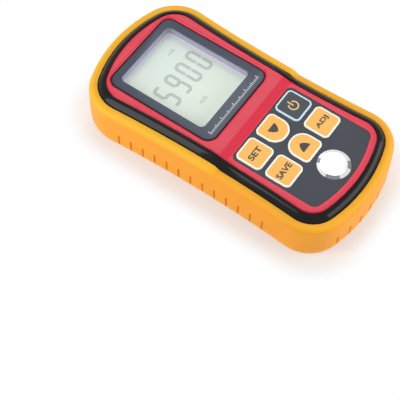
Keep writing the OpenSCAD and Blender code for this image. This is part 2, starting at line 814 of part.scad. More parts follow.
// Conical coil springs at the cells' flat ends
module battery_springs() {
    coil_len = spring_len - 2 * wire_r - 2 * touch;
    coil_n = spring_turns * spring_steps;
    sides_n = 6;
    points = [for (i = [0 : coil_n]) for (j = [0 : sides_n - 1])
        let (a = 360 * i / spring_steps, b = 360 * j / sides_n, t = i / coil_n)
        let (r = spring_r - t + wire_r * cos(b))
        [r * cos(a), wire_r * (1 + sin(b)) + t * coil_len, r * sin(a)]];
    walls = [for (i = [0 : coil_n - 1]) for (j = [0 : sides_n - 1])
        let (k = (j + 1) % sides_n, a = i * sides_n, b = a + sides_n)
        each [[a + j, b + k, b + j], [a + j, a + k, b + k]]];
    ends = [[for (j = [sides_n - 1 : -1 : 0]) j], [for (j = [0 : sides_n - 1]) coil_n * sides_n + j]];
    color("#cfd2d6") at_cells() translate([0, -bay_len / 2 + contact_t + touch])
        polyhedron(points, concat(walls, ends));
}

module battery_contacts() {
    color("#d9dbdf") at_cells() for (y = [-bay_len / 2, bay_len / 2 - contact_t])
        translate([-contact_w / 2, y, -contact_w / 2]) cube([contact_w, contact_t, contact_w]);
}

// Probe socket: barrel through the case, flange on the spot face, bore for the probe's plug
module probe_socket(side) {
    color("#c9ccd1") translate([side * socket_x, 0, seam_z]) difference() {
        union() {
            bar(socket_r, socket_in_y, nose_y);
            bar(socket_flange_r, spot_y, spot_y + socket_flange_t);
        }
        bar(socket_bore_r, bore_y, nose_y + over);
        bar(insert_r, socket_in_y - over, bore_y + over);
    }
}

module socket_inserts() {
    color("#f1efe6") at_sockets() difference() {
        bar(insert_r - touch, socket_in_y - over, bore_y);
        bar(contact_hole_r, bore_y - contact_hole_len, bore_y + over);
    }
}

module socket_nuts() {
    color("#b8bbc0") at_sockets() difference() {
        translate([0, boss_in_y - nut_t, 0]) rotate([-90, 0, 0]) cylinder(h = nut_t, r = spot_r, $fn = 6);
        bar(socket_r + touch, boss_in_y - nut_t - over, boss_in_y + over);
    }
}

module case_screws() {
    color("#8d9096") at(posts) {
        pin(screw_head_r, screw_seat_z - screw_head_h, screw_seat_z);
        pin(screw_r, screw_seat_z - touch, screw_seat_z + screw_len);
    }
}

module board_screws() {
    color("#a5a8ad") at(pillars) {
        pin(board_head_r, board_under_z - board_head_h, board_under_z);
        pin(board_screw_r, board_under_z - touch, board_z + board_screw_len - over);
    }
}

key_orange = "#ffbf5f";
key_dark = "#3b404b";

protective_boot();
front_case();
face_plate();
display_lens();
display_frame();
display_glass();
backlight_panel();
contact_strips();
main_board();
board_parts();
switch_bodies();
keypad_overlay();
key(KEY_SPEED, key_orange);  // key_speed
key(KEY_DOWN, key_orange);  // key_down
key(KEY_POWER, key_dark);  // key_power
key(KEY_SAVE, key_orange);  // key_save
key(KEY_UP, key_orange);  // key_up
key(KEY_ADJUST, key_orange);  // key_adjust
plunger(KEY_SPEED);  // plunger_speed
plunger(KEY_DOWN);  // plunger_down
plunger(KEY_POWER);  // plunger_power
plunger(KEY_SAVE);  // plunger_save
plunger(KEY_UP);  // plunger_up
plunger(KEY_ADJUST);  // plunger_adjust
test_block();
rear_case();
battery_door();
battery_cells();
battery_springs();
battery_contacts();
probe_socket(-1);  // probe_socket_left
probe_socket(1);  // probe_socket_right
socket_inserts();
socket_nuts();
case_screws();
board_screws();
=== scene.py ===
"""Looks of a hand-held ultrasonic thickness gauge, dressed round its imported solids.

Sizes and places of the gauge are in millimetres, those of lamps and floor in metres.
"""
import logging
import math
from dataclasses import dataclass, replace
from enum import Enum
from functools import lru_cache
from itertools import product
from typing import Iterable, Optional, Sequence, Union

import bmesh
import bpy
from bmesh.types import BMEdge, BMFace, BMVert
from mathutils import Color, Matrix, Vector


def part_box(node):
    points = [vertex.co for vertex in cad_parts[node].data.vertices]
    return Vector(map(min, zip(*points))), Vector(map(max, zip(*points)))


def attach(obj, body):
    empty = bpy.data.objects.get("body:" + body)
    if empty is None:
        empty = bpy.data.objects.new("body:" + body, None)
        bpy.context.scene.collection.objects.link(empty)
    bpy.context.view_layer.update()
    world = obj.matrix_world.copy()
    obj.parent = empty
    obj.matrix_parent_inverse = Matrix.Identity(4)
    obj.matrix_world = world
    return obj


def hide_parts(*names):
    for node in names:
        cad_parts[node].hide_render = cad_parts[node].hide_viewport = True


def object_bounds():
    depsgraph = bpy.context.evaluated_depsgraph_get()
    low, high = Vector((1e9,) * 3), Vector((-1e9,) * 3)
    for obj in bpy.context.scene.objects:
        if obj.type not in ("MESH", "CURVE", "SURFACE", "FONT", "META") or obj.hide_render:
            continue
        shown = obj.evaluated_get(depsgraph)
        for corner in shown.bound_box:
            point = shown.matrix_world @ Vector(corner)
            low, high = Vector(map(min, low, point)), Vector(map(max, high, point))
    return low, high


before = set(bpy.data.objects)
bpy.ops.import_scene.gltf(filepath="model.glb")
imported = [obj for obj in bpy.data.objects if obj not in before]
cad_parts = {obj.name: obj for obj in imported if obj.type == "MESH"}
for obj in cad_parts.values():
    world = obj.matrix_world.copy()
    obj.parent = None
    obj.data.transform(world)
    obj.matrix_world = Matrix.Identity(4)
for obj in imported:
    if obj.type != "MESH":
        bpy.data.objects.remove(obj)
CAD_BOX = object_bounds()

# One millimetre in metres, and the distances in millimetres under which points merge and arcs meet
MM = 0.001
WELD = 0.0005
JOIN = 0.005
QUARTER = math.pi / 2
SIDES = (-1, 1)
# Angle in degrees above which an edge stays sharp
SHARP = 38.0
# Detail of noise that stands for a fine grain
FINE_DETAIL = 3.0
CASE_BODY = "case"
# Attributes of vertices: inside a grip notch (which gets painted shade), place on the outline, and way out of
# the outline
GROOVE = "groove"
FOOT = "foot"
WAY = "way"
log = logging.getLogger("gauge")

Rgba = tuple[float, float, float, float]
Term = Union["Field", float]
Pair = tuple[float, float]
WHITE: Rgba = (1.0, 1.0, 1.0, 1.0)


def ink(red: int, green: int, blue: int) -> Rgba:
    """Return a linear colour from its display values, each from 0 to 255."""
    levels = (red / 255, green / 255, blue / 255)
    return (*Color(levels).from_srgb_to_scene_linear(), 1.0)


def toned(color: Rgba, gain: float, lift: float = 0.0) -> Rgba:
    """Return a colour made darker or lighter by a gain and a lift."""
    return (*(min(1.0, gain * level + lift) for level in color[:3]), 1.0)


def fan(start: float, stop: float, steps: int) -> list[float]:
    """Return values from start to stop in equal steps, both ends among them."""
    return [start + (stop - start) * i / steps for i in range(steps + 1)]


class Field:
    """A shader socket whose operators add Math nodes."""

    def __init__(self, graph: "Graph", socket: bpy.types.NodeSocket) -> None:
        """Keep the graph and the socket that carries the value."""
        self.graph = graph
        self.socket = socket

    def math(self, operation: str, *terms: Term) -> "Field":
        """Return a Math node of these terms."""
        return self.graph.node("ShaderNodeMath", {"operation": operation}, dict(enumerate(terms)))

    def out(self, name: Union[int, str]) -> "Field":
        """Return another output of the same node."""
        return Field(self.graph, self.socket.node.outputs[name])

    def __add__(self, other: Term) -> "Field":
        """Return self + other."""
        return self.math("ADD", self, other)

    __radd__ = __add__

    def __sub__(self, other: Term) -> "Field":
        """Return self - other."""
        return self.math("SUBTRACT", self, other)

    def __rsub__(self, other: Term) -> "Field":
        """Return other - self."""
        return self.math("SUBTRACT", other, self)

    def __mul__(self, other: Term) -> "Field":
        """Return self * other."""
        return self.math("MULTIPLY", self, other)

    __rmul__ = __mul__

    def __pow__(self, power: Term) -> "Field":
        """Return self raised to a power."""
        return self.math("POWER", self, power)

    def __abs__(self) -> "Field":
        """Return the size of self without its sign."""
        return self.math("ABSOLUTE", self)

    def at_least(self, other: Term) -> "Field":
        """Return the larger of self and other."""
        return self.math("MAXIMUM", self, other)

    def at_most(self, other: Term) -> "Field":
        """Return the smaller of self and other."""
        return self.math("MINIMUM", self, other)

    def rise(self, low: float, high: float) -> "Field":
        """Return a smooth step from 0 at low to 1 at high."""
        return self.graph.node(
            "ShaderNodeMapRange", {"interpolation_type": "SMOOTHSTEP"},
            {"Value": self, "From Min": low, "From Max": high})

    def past(self, limit: float, soft: float) -> "Field":
        """Return a smooth step from 0 to 1 across a limit."""
        return self.rise(limit - soft, limit + soft)

    def about(self, middle: Term, spread: float) -> "Field":
        """Return a value that swings by a spread about a middle as self goes from 0 to 1."""
        return middle + spread * (self - 0.5)


class Graph:
    """Node tree of one material or world."""

    def __init__(self, tree: bpy.types.NodeTree) -> None:
        """Start from an empty tree."""
        self.tree = tree
        self.tree.nodes.clear()

    def node(self, kind: str, settings: Optional[dict] = None, inputs: Optional[dict] = None,
             output: Union[int, str] = 0) -> Field:
        """Add a node.

        Args:
            kind: The node's type.
            settings: Properties of the node, set before its sockets.
            inputs: Values or fields for its input sockets.
            output: The output that the field carries.

        Returns:
            The field of that output.
        """
        made = self.tree.nodes.new(kind)
        for key, value in (settings or {}).items():
            setattr(made, key, value)
        for key, value in (inputs or {}).items():
            if isinstance(value, Field):
                self.tree.links.new(value.socket, made.inputs[key])
            else:
                made.inputs[key].default_value = value
        return Field(self, made.outputs[output])

    def end(self, kind: str, shader: Field) -> None:
        """Link a shader to an output node of this kind."""
        made = self.tree.nodes.new(kind)
        self.tree.links.new(shader.socket, made.inputs["Surface"])

    def place(self, stretch: Sequence[float] = (1.0, 1.0, 1.0)) -> Field:
        """Return the object's own coordinates, stretched along its axes."""
        spot = self.node("ShaderNodeTexCoord", output="Object")
        return self.node("ShaderNodeVectorMath", {"operation": "MULTIPLY"}, {0: spot, 1: tuple(stretch)})

    def axes(self) -> tuple[Field, Field, Field]:
        """Return the object's x, y and z in millimetres."""
        x = self.node("ShaderNodeSeparateXYZ", inputs={0: self.place((1 / MM,) * 3)})
        return x, x.out(1), x.out(2)

    def around(self, middle: Pair) -> tuple[Field, Field, Field]:
        """Return where a point lies from an upright axis.

        Args:
            middle: Place of the axis.

        Returns:
            The way along x, the way along y and the distance, in millimetres.
        """
        x, y, _ = self.axes()
        off_x, off_y = x - middle[0], y - middle[1]
        return off_x, off_y, (off_x ** 2.0 + off_y ** 2.0) ** 0.5

    def noise(self, size: float, detail: float = 2.0, stretch: Sequence[float] = (1.0, 1.0, 1.0)) -> Field:
        """Return noise whose patches are about size millimetres wide."""
        return self.node("ShaderNodeTexNoise", inputs={
            "Vector": self.place(stretch), "Scale": 1 / (size * MM), "Detail": detail})

    def bump(self, height: Field, relief: float) -> Field:
        """Return a normal bent by a height field of relief millimetres."""
        return self.node("ShaderNodeBump", inputs={"Height": height, "Distance": relief * MM})

    def mix(self, share: Term, first: Union[Field, Rgba], second: Union[Field, Rgba]) -> Field:
        """Return the blend of two colours."""
        return self.node("ShaderNodeMix", {"data_type": "RGBA"}, {0: share, 6: first, 7: second}, 2)

    def seen(self) -> Field:
        """Return 1 for what the camera sees, also in a mirror or through glass."""
        path = self.node("ShaderNodeLightPath")
        return path.at_least(path.out("Is Glossy Ray")).at_least(path.out("Is Transmission Ray"))

    def surface(self, **sockets: Union[Field, float, Rgba]) -> Field:
        """Return a principled surface; an underscore in a name stands for a space."""
        named = {key.replace("_", " "): value for key, value in sockets.items()}
        return self.node("ShaderNodeBsdfPrincipled", inputs=named)


@dataclass(frozen=True)
class Finish:
    """Procedural finish of a surface."""

    name: str

    def shade(self, graph: Graph) -> Field:
        """Return the finish's shader."""
        raise NotImplementedError


@dataclass(frozen=True)
class Moulding(Finish):
    """Moulded plastic or rubber with slow mottling and a fine grain."""

    color: Rgba
    tint: Rgba
    roughness: float = 0.45
    grain: float = 0.25
    relief: float = 0.01
    specular: float = 0.4
    mottle: float = 14.0
    # How much the roughness changes with the mottling and with the grain
    mottle_gloss: float = 0.1
    grain_gloss: float = 0.12

    def tone(self, graph: Graph, slow: Field) -> Field:
        """Return the colour over the surface, mottled by a slow noise."""
        return graph.mix(slow, self.color, self.tint)

    def shade(self, graph: Graph) -> Field:
        """Shade the moulding.

        Args:
            graph: The material's nodes.

        Returns:
            The shader.
        """
        slow = graph.noise(self.mottle)
        fine = graph.noise(self.grain, FINE_DETAIL)
        return graph.surface(
            Base_Color=self.tone(graph, slow),
            Roughness=fine.about(slow.about(self.roughness, self.mottle_gloss), self.grain_gloss),
            Normal=graph.bump(fine, self.relief),
            Specular_IOR_Level=self.specular)


@dataclass(frozen=True)
class SoftBoot(Moulding):
    """Soft orange moulding with painted light: a painted highlight at its lip, painted bounce light at its
    foot and painted shade in its grip notches.
    """

    color: Rgba = ink(248, 164, 38)
    tint: Rgba = ink(245, 158, 32)
    roughness: float = 0.5
    grain: float = 0.22
    relief: float = 0.008
    specular: float = 0.25
    mottle: float = 22.0
    grain_gloss: float = 0.14
    # Painted light: a painted highlight on the lip's crest, painted bounce light from the floor at the foot,
    # painted shade in the grip notches
    crest_highlight: Rgba = ink(253, 187, 44)
    foot: Rgba = ink(248, 169, 50)
    groove: Rgba = ink(242, 160, 44)
    # Heights over which the painted bounce light fades out and the painted highlight fades in
    foot_bounce_z: Pair = (0.5, 11.0)
    crest_highlight_z: Pair = (22.5, 26.0)

    def tone(self, graph: Graph, slow: Field) -> Field:
        """Paint light onto the boot: bounce light at its foot, a highlight at its lip, and shade in its grip
        notches.

        Args:
            graph: The material's nodes.
            slow: The noise that mottles the wall.

        Returns:
            The colour over the surface.
        """
        _, _, z = graph.axes()
        # Painted bounce light low on the wall, a painted highlight at the crest, and painted shade where the
        # groove attribute marks the notches
        low = graph.mix(z.rise(*self.foot_bounce_z), self.foot, super().tone(graph, slow))
        high = graph.mix(z.rise(*self.crest_highlight_z), low, self.crest_highlight)
        cut = graph.node("ShaderNodeAttribute", {"attribute_name": GROOVE}, output="Fac")
        return graph.mix(cut, high, self.groove)


class Lay(Enum):
    """Direction of the fine lines on a metal."""

    TURNED = "turned"
    ALONG = "along"
    PLAIN = "plain"


@dataclass(frozen=True)
class Metal(Finish):
    """Bare or plated metal with fine tool lines."""

    color: Rgba
    roughness: float = 0.2
    lay: Lay = Lay.PLAIN
    middle: Pair = (0.0, 0.0)
    relief: float = 0.002
    turned_rate: float = 14.0
    along_w: float = 0.15
    along_stretch: float = 0.02
    plain_w: float = 0.3
    dull_patch: float = 6.0
    dull_gain: float = 0.86
    line_gloss: float = 0.08
    patch_gloss: float = 0.06

    def lines(self, graph: Graph) -> Field:
        """Draw the tool lines.

        Args:
            graph: The material's nodes.

        Returns:
            Their height.
        """
        if self.lay is Lay.TURNED:
            _, _, away = graph.around(self.middle)
            return graph.node("ShaderNodeTexNoise", {"noise_dimensions": "1D"},
                              {"W": away, "Scale": self.turned_rate})
        if self.lay is Lay.ALONG:
            return graph.noise(self.along_w, FINE_DETAIL, (1.0, self.along_stretch, 1.0))
        return graph.noise(self.plain_w, FINE_DETAIL)

    def shade(self, graph: Graph) -> Field:
        """Shade the metal.

        Args:
            graph: The material's nodes.

        Returns:
            The shader.
        """
        lines = self.lines(graph)
        slow = graph.noise(self.dull_patch)
        return graph.surface(
            Base_Color=graph.mix(slow, self.color, toned(self.color, self.dull_gain)),
            Metallic=1.0,
            Roughness=slow.about(lines.about(self.roughness, self.line_gloss), self.patch_gloss),
            Normal=graph.bump(lines, self.relief))


@dataclass(frozen=True)
class PaintedReflection:
    """Painted reflection: a darker stretch of a ring, in degrees."""

    heading: float
    half: float
    soft: float = 3.0

    def share(self, across: Field, along: Field, away: Field) -> Field:
        """Find where the painted reflection lies.

        Args:
            across: Way from the ring's middle along x.
            along: Way from the ring's middle along y.
            away: Distance from the ring's middle.

        Returns:
            1 inside the painted reflection and 0 outside it.
        """
        turn = math.radians(self.heading)
        facing = (across * math.cos(turn) + along * math.sin(turn)) * away ** -1.0
        edges = (math.cos(math.radians(self.half + side * self.soft)) for side in (1, -1))
        return facing.rise(*edges)


@dataclass(frozen=True)
class PaintedReflectionRing(Finish):
    """Bright bevel with painted reflections: darker patches round its middle."""

    middle: Pair
    light: Rgba = ink(226, 228, 230)
    # Colour of the painted reflections of dark surroundings
    dark: Rgba = ink(132, 134, 138)
    painted_reflections: tuple[PaintedReflection, ...] = (PaintedReflection(-57.0, 17.0), PaintedReflection(108.0, 11.0), PaintedReflection(-153.0, 27.0))
    fleck: float = 0.5
    fleck_share: float = 0.2
    roughness: float = 0.2
    fleck_gloss: float = 0.1

    def shade(self, graph: Graph) -> Field:
        """Shade the ring with its painted reflections.

        Args:
            graph: The material's nodes.

        Returns:
            The shader.
        """
        spot = graph.around(self.middle)
        fine = graph.noise(self.fleck)
        share = self.fleck_share * fine
        # Each patch is a painted reflection
        for painted_reflection in self.painted_reflections:
            share = share.at_least(painted_reflection.share(*spot))
        return graph.surface(
            Base_Color=graph.mix(share, self.light, self.dark),
            Metallic=1.0,
            Roughness=self.roughness + self.fleck_gloss * fine)


@dataclass(frozen=True)
class Ink(Finish):
    """Printed ink with a slightly uneven tone."""

    color: Rgba
    roughness: float = 0.5
    fleck: float = 0.35
    fleck_gloss: float = 0.1
    worn_gain: float = 1.12
    worn_lift: float = 0.004

    def shade(self, graph: Graph) -> Field:
        """Shade the ink.

        Args:
            graph: The material's nodes.

        Returns:
            The shader.
        """
        fleck = graph.noise(self.fleck)
        worn = toned(self.color, self.worn_gain, self.worn_lift)
        return graph.surface(
            Base_Color=graph.mix(fleck, self.color, worn),
            Roughness=fleck.about(self.roughness, self.fleck_gloss))


@dataclass(frozen=True)
class RoundPlan:
    """Round-cornered plan of a print or a shadow."""

    middle: Pair
    half: Pair
    corner: float

    def away(self, graph: Graph) -> Field:
        """Measure how far a point lies from the plan's outline.

        Args:
            graph: The material's nodes.

        Returns:
            The distance in millimetres, negative inside the plan.
        """
        x, y, _ = graph.axes()
        over_x = abs(x - self.middle[0]) - (self.half[0] - self.corner)
        over_y = abs(y - self.middle[1]) - (self.half[1] - self.corner)
        round_off = (over_x.at_least(0.0) ** 2.0 + over_y.at_least(0.0) ** 2.0) ** 0.5
        return round_off + over_x.at_least(over_y).at_most(0.0) - self.corner


@dataclass(frozen=True)
class LensPrintAndGapShade(Finish):
    """Clear window with a dark border printed round the view, and painted shade of the gap round the lens as
    a darker line at its edge.
    """

    view: RoundPlan
    rim: RoundPlan
    print_z: float
    border: Rgba = ink(62, 72, 88)
    # Painted shade: the dark line at the lens's edge stands for the shade in the gap round the lens
    line: Rgba = ink(26, 20, 24)
    clear: Rgba = ink(235, 240, 245)
    gap_shade_w: float = 0.55
    haze: float = 0.03
    soft: float = 0.06
    print_soft: float = 0.05
    roughness: float = 0.2
    grain: float = 0.3
    grain_gloss: float = 0.06
    specular: float = 0.3

    def shade(self, graph: Graph) -> Field:
        """Shade the lens.

        Args:
            graph: The material's nodes.

        Returns:
            The shader.
        """
        _, _, z = graph.axes()
        printed = self.view.away(graph).past(0.0, self.soft) * z.past(self.print_z, self.print_soft)
        # Mask of the painted shade along the lens's edge
        edge = self.rim.away(graph).past(-self.gap_shade_w, self.soft)
        return graph.surface(
            Base_Color=graph.mix(printed, self.clear, graph.mix(edge, self.border, self.line)),
            Alpha=self.haze + (1.0 - self.haze) * printed,
            Roughness=graph.noise(self.grain).about(self.roughness, self.grain_gloss),
            Specular_IOR_Level=self.specular)


@dataclass(frozen=True)
class DisplayField(Finish):
    """Pale reflective display with a soft drift of tone, a fine sparkle, a bare margin, and a faint glow that
    is painted light lifting the shade in its well.
    """

    field: RoundPlan
    color: Rgba = ink(220, 231, 216)
    cool: Rgba = ink(211, 224, 214)
    bare: Rgba = ink(226, 226, 236)
    # Painted light: a faint glow of the display's own colour that lifts the shade in its well
    glow: float = 0.16
    drift_lean: float = 0.6
    drift_wave: float = 12.0
    drift_size: float = 9.0
    drift_span: Pair = (14.0, 62.0)
    soft: float = 0.08
    roughness: float = 0.5
    sparkle: float = 0.12
    sparkle_gloss: float = 0.15
    relief: float = 0.004

    def shade(self, graph: Graph) -> Field:
        """Shade the display.

        Args:
            graph: The material's nodes.

        Returns:
            The shader.
        """
        x, y, _ = graph.axes()
        wave = graph.noise(self.drift_size) * self.drift_wave
        drift = (self.drift_lean * x + y + wave).rise(*self.drift_span)
        fine = graph.noise(self.sparkle)
        margin = self.field.away(graph).past(0.0, self.soft)
        tone = graph.mix(margin, graph.mix(drift, self.color, self.cool), self.bare)
        # The emission is painted light
        return graph.surface(
            Base_Color=tone,
            Emission_Color=tone,
            Emission_Strength=self.glow,
            Roughness=fine.about(self.roughness, self.sparkle_gloss),
            Normal=graph.bump(fine, self.relief))


@dataclass(frozen=True)
class CellSleeve(Finish):
    """Printed sleeve of a cell: dark body with a copper-coloured end."""

    body: Rgba = ink(48, 50, 56)
    end: Rgba = ink(196, 140, 70)
    split_y: float = -22.0
    split_soft: float = 0.1
    roughness: float = 0.32
    grain: float = 0.4
    grain_gloss: float = 0.1
    coat: float = 0.3

    def shade(self, graph: Graph) -> Field:
        """Shade the sleeve.

        Args:
            graph: The material's nodes.

        Returns:
            The shader.
        """
        _, y, _ = graph.axes()
        return graph.surface(
            Base_Color=graph.mix(y.past(self.split_y, self.split_soft), self.body, self.end),
            Roughness=graph.noise(self.grain).about(self.roughness, self.grain_gloss),
            Coat_Weight=self.coat)


@dataclass(frozen=True)
class Lacquer(Finish):
    """Board lacquer over copper traces."""

    lacquer: Rgba = ink(24, 110, 62)
    copper: Rgba = ink(52, 146, 88)
    pitch: float = 2.4
    trace_edge: Pair = (0.05, 0.12)
    roughness: float = 0.35
    trace_gloss: float = 0.1
    relief: float = 0.03

    def shade(self, graph: Graph) -> Field:
        """Shade the board.

        Args:
            graph: The material's nodes.

        Returns:
            The shader.
        """
        cells = graph.node(
            "ShaderNodeTexVoronoi", {"feature": "DISTANCE_TO_EDGE", "distance": "EUCLIDEAN"},
            {"Vector": graph.place(), "Scale": 1 / (self.pitch * MM)})
        trace = 1 - cells.rise(*self.trace_edge)
        return graph.surface(
            Base_Color=graph.mix(trace, self.lacquer, self.copper),
            Roughness=self.roughness + self.trace_gloss * trace,
            Normal=graph.bump(trace, self.relief))


@dataclass(frozen=True)
class PaleFloor(Finish):
    """White floor that keeps the shadow close to what stands on it."""

    foot: RoundPlan
    tone: float = 0.92
    reach: float = 12.0
    lift: float = 0.36

    def shade(self, graph: Graph) -> Field:
        """Shade the floor.

        Args:
            graph: The material's nodes.

        Returns:
            The shader: matt near the gauge, fading to plain white where the camera looks.
        """
        share = self.lift + (1 - self.lift) * self.foot.away(graph).rise(0.0, self.reach)
        matt = graph.node("ShaderNodeBsdfDiffuse", inputs={"Color": toned(WHITE, self.tone)})
        glow = graph.node("ShaderNodeEmission", inputs={"Color": WHITE, "Strength": 1.0})
        return graph.node("ShaderNodeMixShader", inputs={0: share * graph.seen(), 1: matt, 2: glow})


@lru_cache(maxsize=None)
def material_of(finish: Finish) -> bpy.types.Material:
    """Return the material of a finish, made once.

    Args:
        finish: The finish to make.

    Returns:
        Its material.
    """
    material = bpy.data.materials.new(finish.name)
    material.use_nodes = True
    graph = Graph(material.node_tree)
    graph.end("ShaderNodeOutputMaterial", finish.shade(graph))
    return material


@dataclass(frozen=True)
class Box:
    """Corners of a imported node."""

    low: Vector
    high: Vector

    @classmethod
    @lru_cache(maxsize=None)
    def of(cls, node: str) -> "Box":
        """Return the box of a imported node."""
        low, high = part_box(node)
        return cls(low / MM, high / MM)

    @property
    def size(self) -> Vector:
        """Width, length and height."""
        return self.high - self.low

    @property
    def middle(self) -> Vector:
        """Middle of the box."""
        return (self.low + self.high) / 2

    @property
    def axis(self) -> Matrix:
        """Place of the upright axis through the middle, at height 0."""
        return Matrix.Translation((self.middle.x, self.middle.y, 0.0))


@dataclass(frozen=True)
class Arc:
    """Arc of an outline: a positive sweep bulges outwards and a negative one hollows."""

    center: Pair
    radius: float
    start: float
    sweep: float
    steps: int = 0
    step_turn: float = math.radians(5)
    step_len: float = 6.0

    def point(self, share: float) -> Vector:
        """Return the point at a share of the sweep."""
        angle = self.start + share * self.sweep
        return Vector((self.center[0] + self.radius * math.cos(angle),
                       self.center[1] + self.radius * math.sin(angle), 0.0))

    def count(self) -> int:
        """Return the number of steps along the arc."""
        steps = max(abs(self.sweep) / self.step_turn, abs(self.sweep) * self.radius / self.step_len)
        return self.steps or max(2, math.ceil(steps))

    def mirrored(self) -> "Arc":
        """Return the arc on the other side of the gauge."""
        return replace(self, center=(-self.center[0], self.center[1]),
                       start=math.pi - self.start - self.sweep)

    def split(self, marks: Sequence[float], half: float, steps: int) -> list["Arc"]:
        """Split the arc so that each mark has a fine stretch of its own.

        Args:
            marks: Angles of the marks, in the order of the sweep.
            half: Half the width of a fine stretch, as an angle.
            steps: Steps across a fine stretch.

        Returns:
            The stretches in order.
        """
        way = math.copysign(1.0, self.sweep)
        parts = []
        at = self.start
        for mark in marks:
            parts.append(replace(self, start=at, sweep=mark - way * half - at))
            parts.append(replace(self, start=mark - way * half, sweep=2 * way * half, steps=steps))
            at = mark + way * half
        parts.append(replace(self, start=at, sweep=self.start + self.sweep - at))
        return parts


@dataclass(frozen=True)
class Outline:
    """Closed outline of arcs, joined by straight lines where they don't meet."""

    arcs: tuple[Arc, ...]

    @classmethod
    def round_box(cls, middle: Sequence[float], width: float, length: float,
                  r_top: float, r_low: float) -> "Outline":
        """Return a box with round corners.

        Args:
            middle: Middle of the box.
            width: Size along X.
            length: Size along Y.
            r_top: Radius of the upper corners.
            r_low: Radius of the lower corners.

        Returns:
            The outline, counter-clockwise from the lower right corner.
        """
        arcs = []
        for quarter, (sx, sy) in enumerate(((1, -1), (1, 1), (-1, 1), (-1, -1))):
            r = r_top if sy > 0 else r_low
            center = (middle[0] + sx * (width / 2 - r), middle[1] + sy * (length / 2 - r))
            arcs.append(Arc(center, r, (quarter - 1) * QUARTER, QUARTER))
        return cls(tuple(arcs))

    @classmethod
    def circle(cls, middle: Sequence[float], radius: float, steps: int = 64) -> "Outline":
        """Return a circle."""
        return cls((Arc((middle[0], middle[1]), radius, 0.0, 2 * math.pi, steps),))


@dataclass(frozen=True)
class Ring:
    """Place of one ring of a skin: its offset from the outline and its height."""

    out: float
    z: float
    on_face: bool = False

    @classmethod
    def face(cls, out: float, z: float) -> "Ring":
        """Return a ring whose height counts from the stepped face."""
        return cls(out, z, True)

    @classmethod
    def edge(cls, wall: "Ring", r: float, inward: int = -1, steps: int = 3) -> list["Ring"]:
        """Return the rings of a rounded upper edge.

        Args:
            wall: Offset of the wall below the edge, and height of the surface above it.
            r: Radius of the edge.
            inward: -1 where the piece lies inside the outline, 1 where it lies outside.
            steps: Steps round the edge.

        Returns:
            The rings from the wall up to the surface.
        """
        return [cls(wall.out + inward * r * (1 - math.cos(a)), wall.z + r * (math.sin(a) - 1), wall.on_face)
                for a in fan(0.0, QUARTER, steps)]


@dataclass(frozen=True)
class Face:
    """Stepped face of the gauge, from which case and boot take their shape."""

    waist_half: float = 27.5
    waist_drop: float = 6.9
    side_r: float = 730.0
    top_r: float = 63.0
    top_corner_r: float = 12.2
    foot_r: float = 73.0
    foot_corner_r: float = 10.1
    step: float = 1.6
    ramp_top: float = -6.9
    ramp_len: float = 5.1
    ramp_rows: int = 14
    gap: float = 0.1
    plate_t: float = 1.9
    deck_t: float = 1.6
    # Offset of the case's wall from the outline of the face
    case_u: float = 4.9
    shoulder_h: float = 8.0

    @property
    def half(self) -> float:
        """Half the length of the face."""
        return Box.of("face_plate").high.y + self.gap

    @property
    def low_z(self) -> float:
        """Height of the face at the keypad."""
        return Box.of("face_plate").high.z - self.step

    def height(self, y: float) -> float:
        """Return the height of the face at a place along the body."""
        share = min(1.0, max(0.0, (y - self.ramp_top + self.ramp_len) / self.ramp_len))
        return self.low_z + self.step * share * share * (3 - 2 * share)

    def shoulder(self, angle: float, off: float = 0.0) -> Ring:
        """Return a ring of the case's round shoulder, or of what lies off it, at an angle from upright."""
        out = (self.case_u + off) * math.sin(angle)
        return Ring.face(out, off - self.shoulder_h * (1 - math.cos(angle)))

    @staticmethod
    def meet(a: Vector, ra: float, b: Vector, rb: float, turn: int) -> Vector:
        """Return the point at distance ra from a and rb from b.

        Args:
            a: First centre.
            ra: Distance from the first centre.
            b: Second centre.
            rb: Distance from the second centre.
            turn: 1 for the point to the right of the way from a to b, -1 for the left.

        Returns:
            The point.
        """
        away = (b - a).length
        along = (ra * ra - rb * rb + away * away) / (2 * away)
        off = math.sqrt(ra * ra - along * along)
        way = (b - a) / away
        return a + along * way + turn * off * Vector((way.y, -way.x))

    def rim(self, notches: Optional["Notches"] = None) -> Outline:
        """Return the outline of the face.

        Args:
            notches: Grip notches that get fine stretches of their own.

        Returns:
            The outline, counter-clockwise from the keypad end.
        """
        def heading(way: Vector) -> float:
            """Return the angle of a way."""
            return math.atan2(way.y, way.x)

        side = Vector((self.waist_half + self.side_r, -self.waist_drop))
        foot = Vector((0.0, self.foot_r - self.half))
        top = Vector((0.0, self.half - self.top_r))
        low_r, high_r = self.foot_corner_r, self.top_corner_r
        foot_corner = self.meet(foot, self.foot_r - low_r, side, self.side_r + low_r, 1)
        top_corner = self.meet(top, self.top_r - high_r, side, self.side_r + high_r, -1)
        foot_turn, top_turn = heading(foot_corner - foot), heading(top_corner - top)
        foot_side, top_side = heading(side - foot_corner), heading(side - top_corner)
        end = [Arc(tuple(foot), self.foot_r, -math.pi - foot_turn, 2 * foot_turn + math.pi)]
        flank = [Arc(tuple(side), self.side_r, foot_side + math.pi, top_side - foot_side)]
        if notches:
            end = notches.on_end(end[0])
            flank = notches.on_side(flank[0])
        low = Arc(tuple(foot_corner), low_r, foot_turn, foot_side - foot_turn)
        high = Arc(tuple(top_corner), high_r, top_side, top_turn - top_side)
        head = Arc(tuple(top), self.top_r, top_turn, math.pi - 2 * top_turn)
        right = [low, *flank, high]
        left = [arc.mirrored() for arc in reversed(right)]
        return Outline((*end, *right, head, *left))


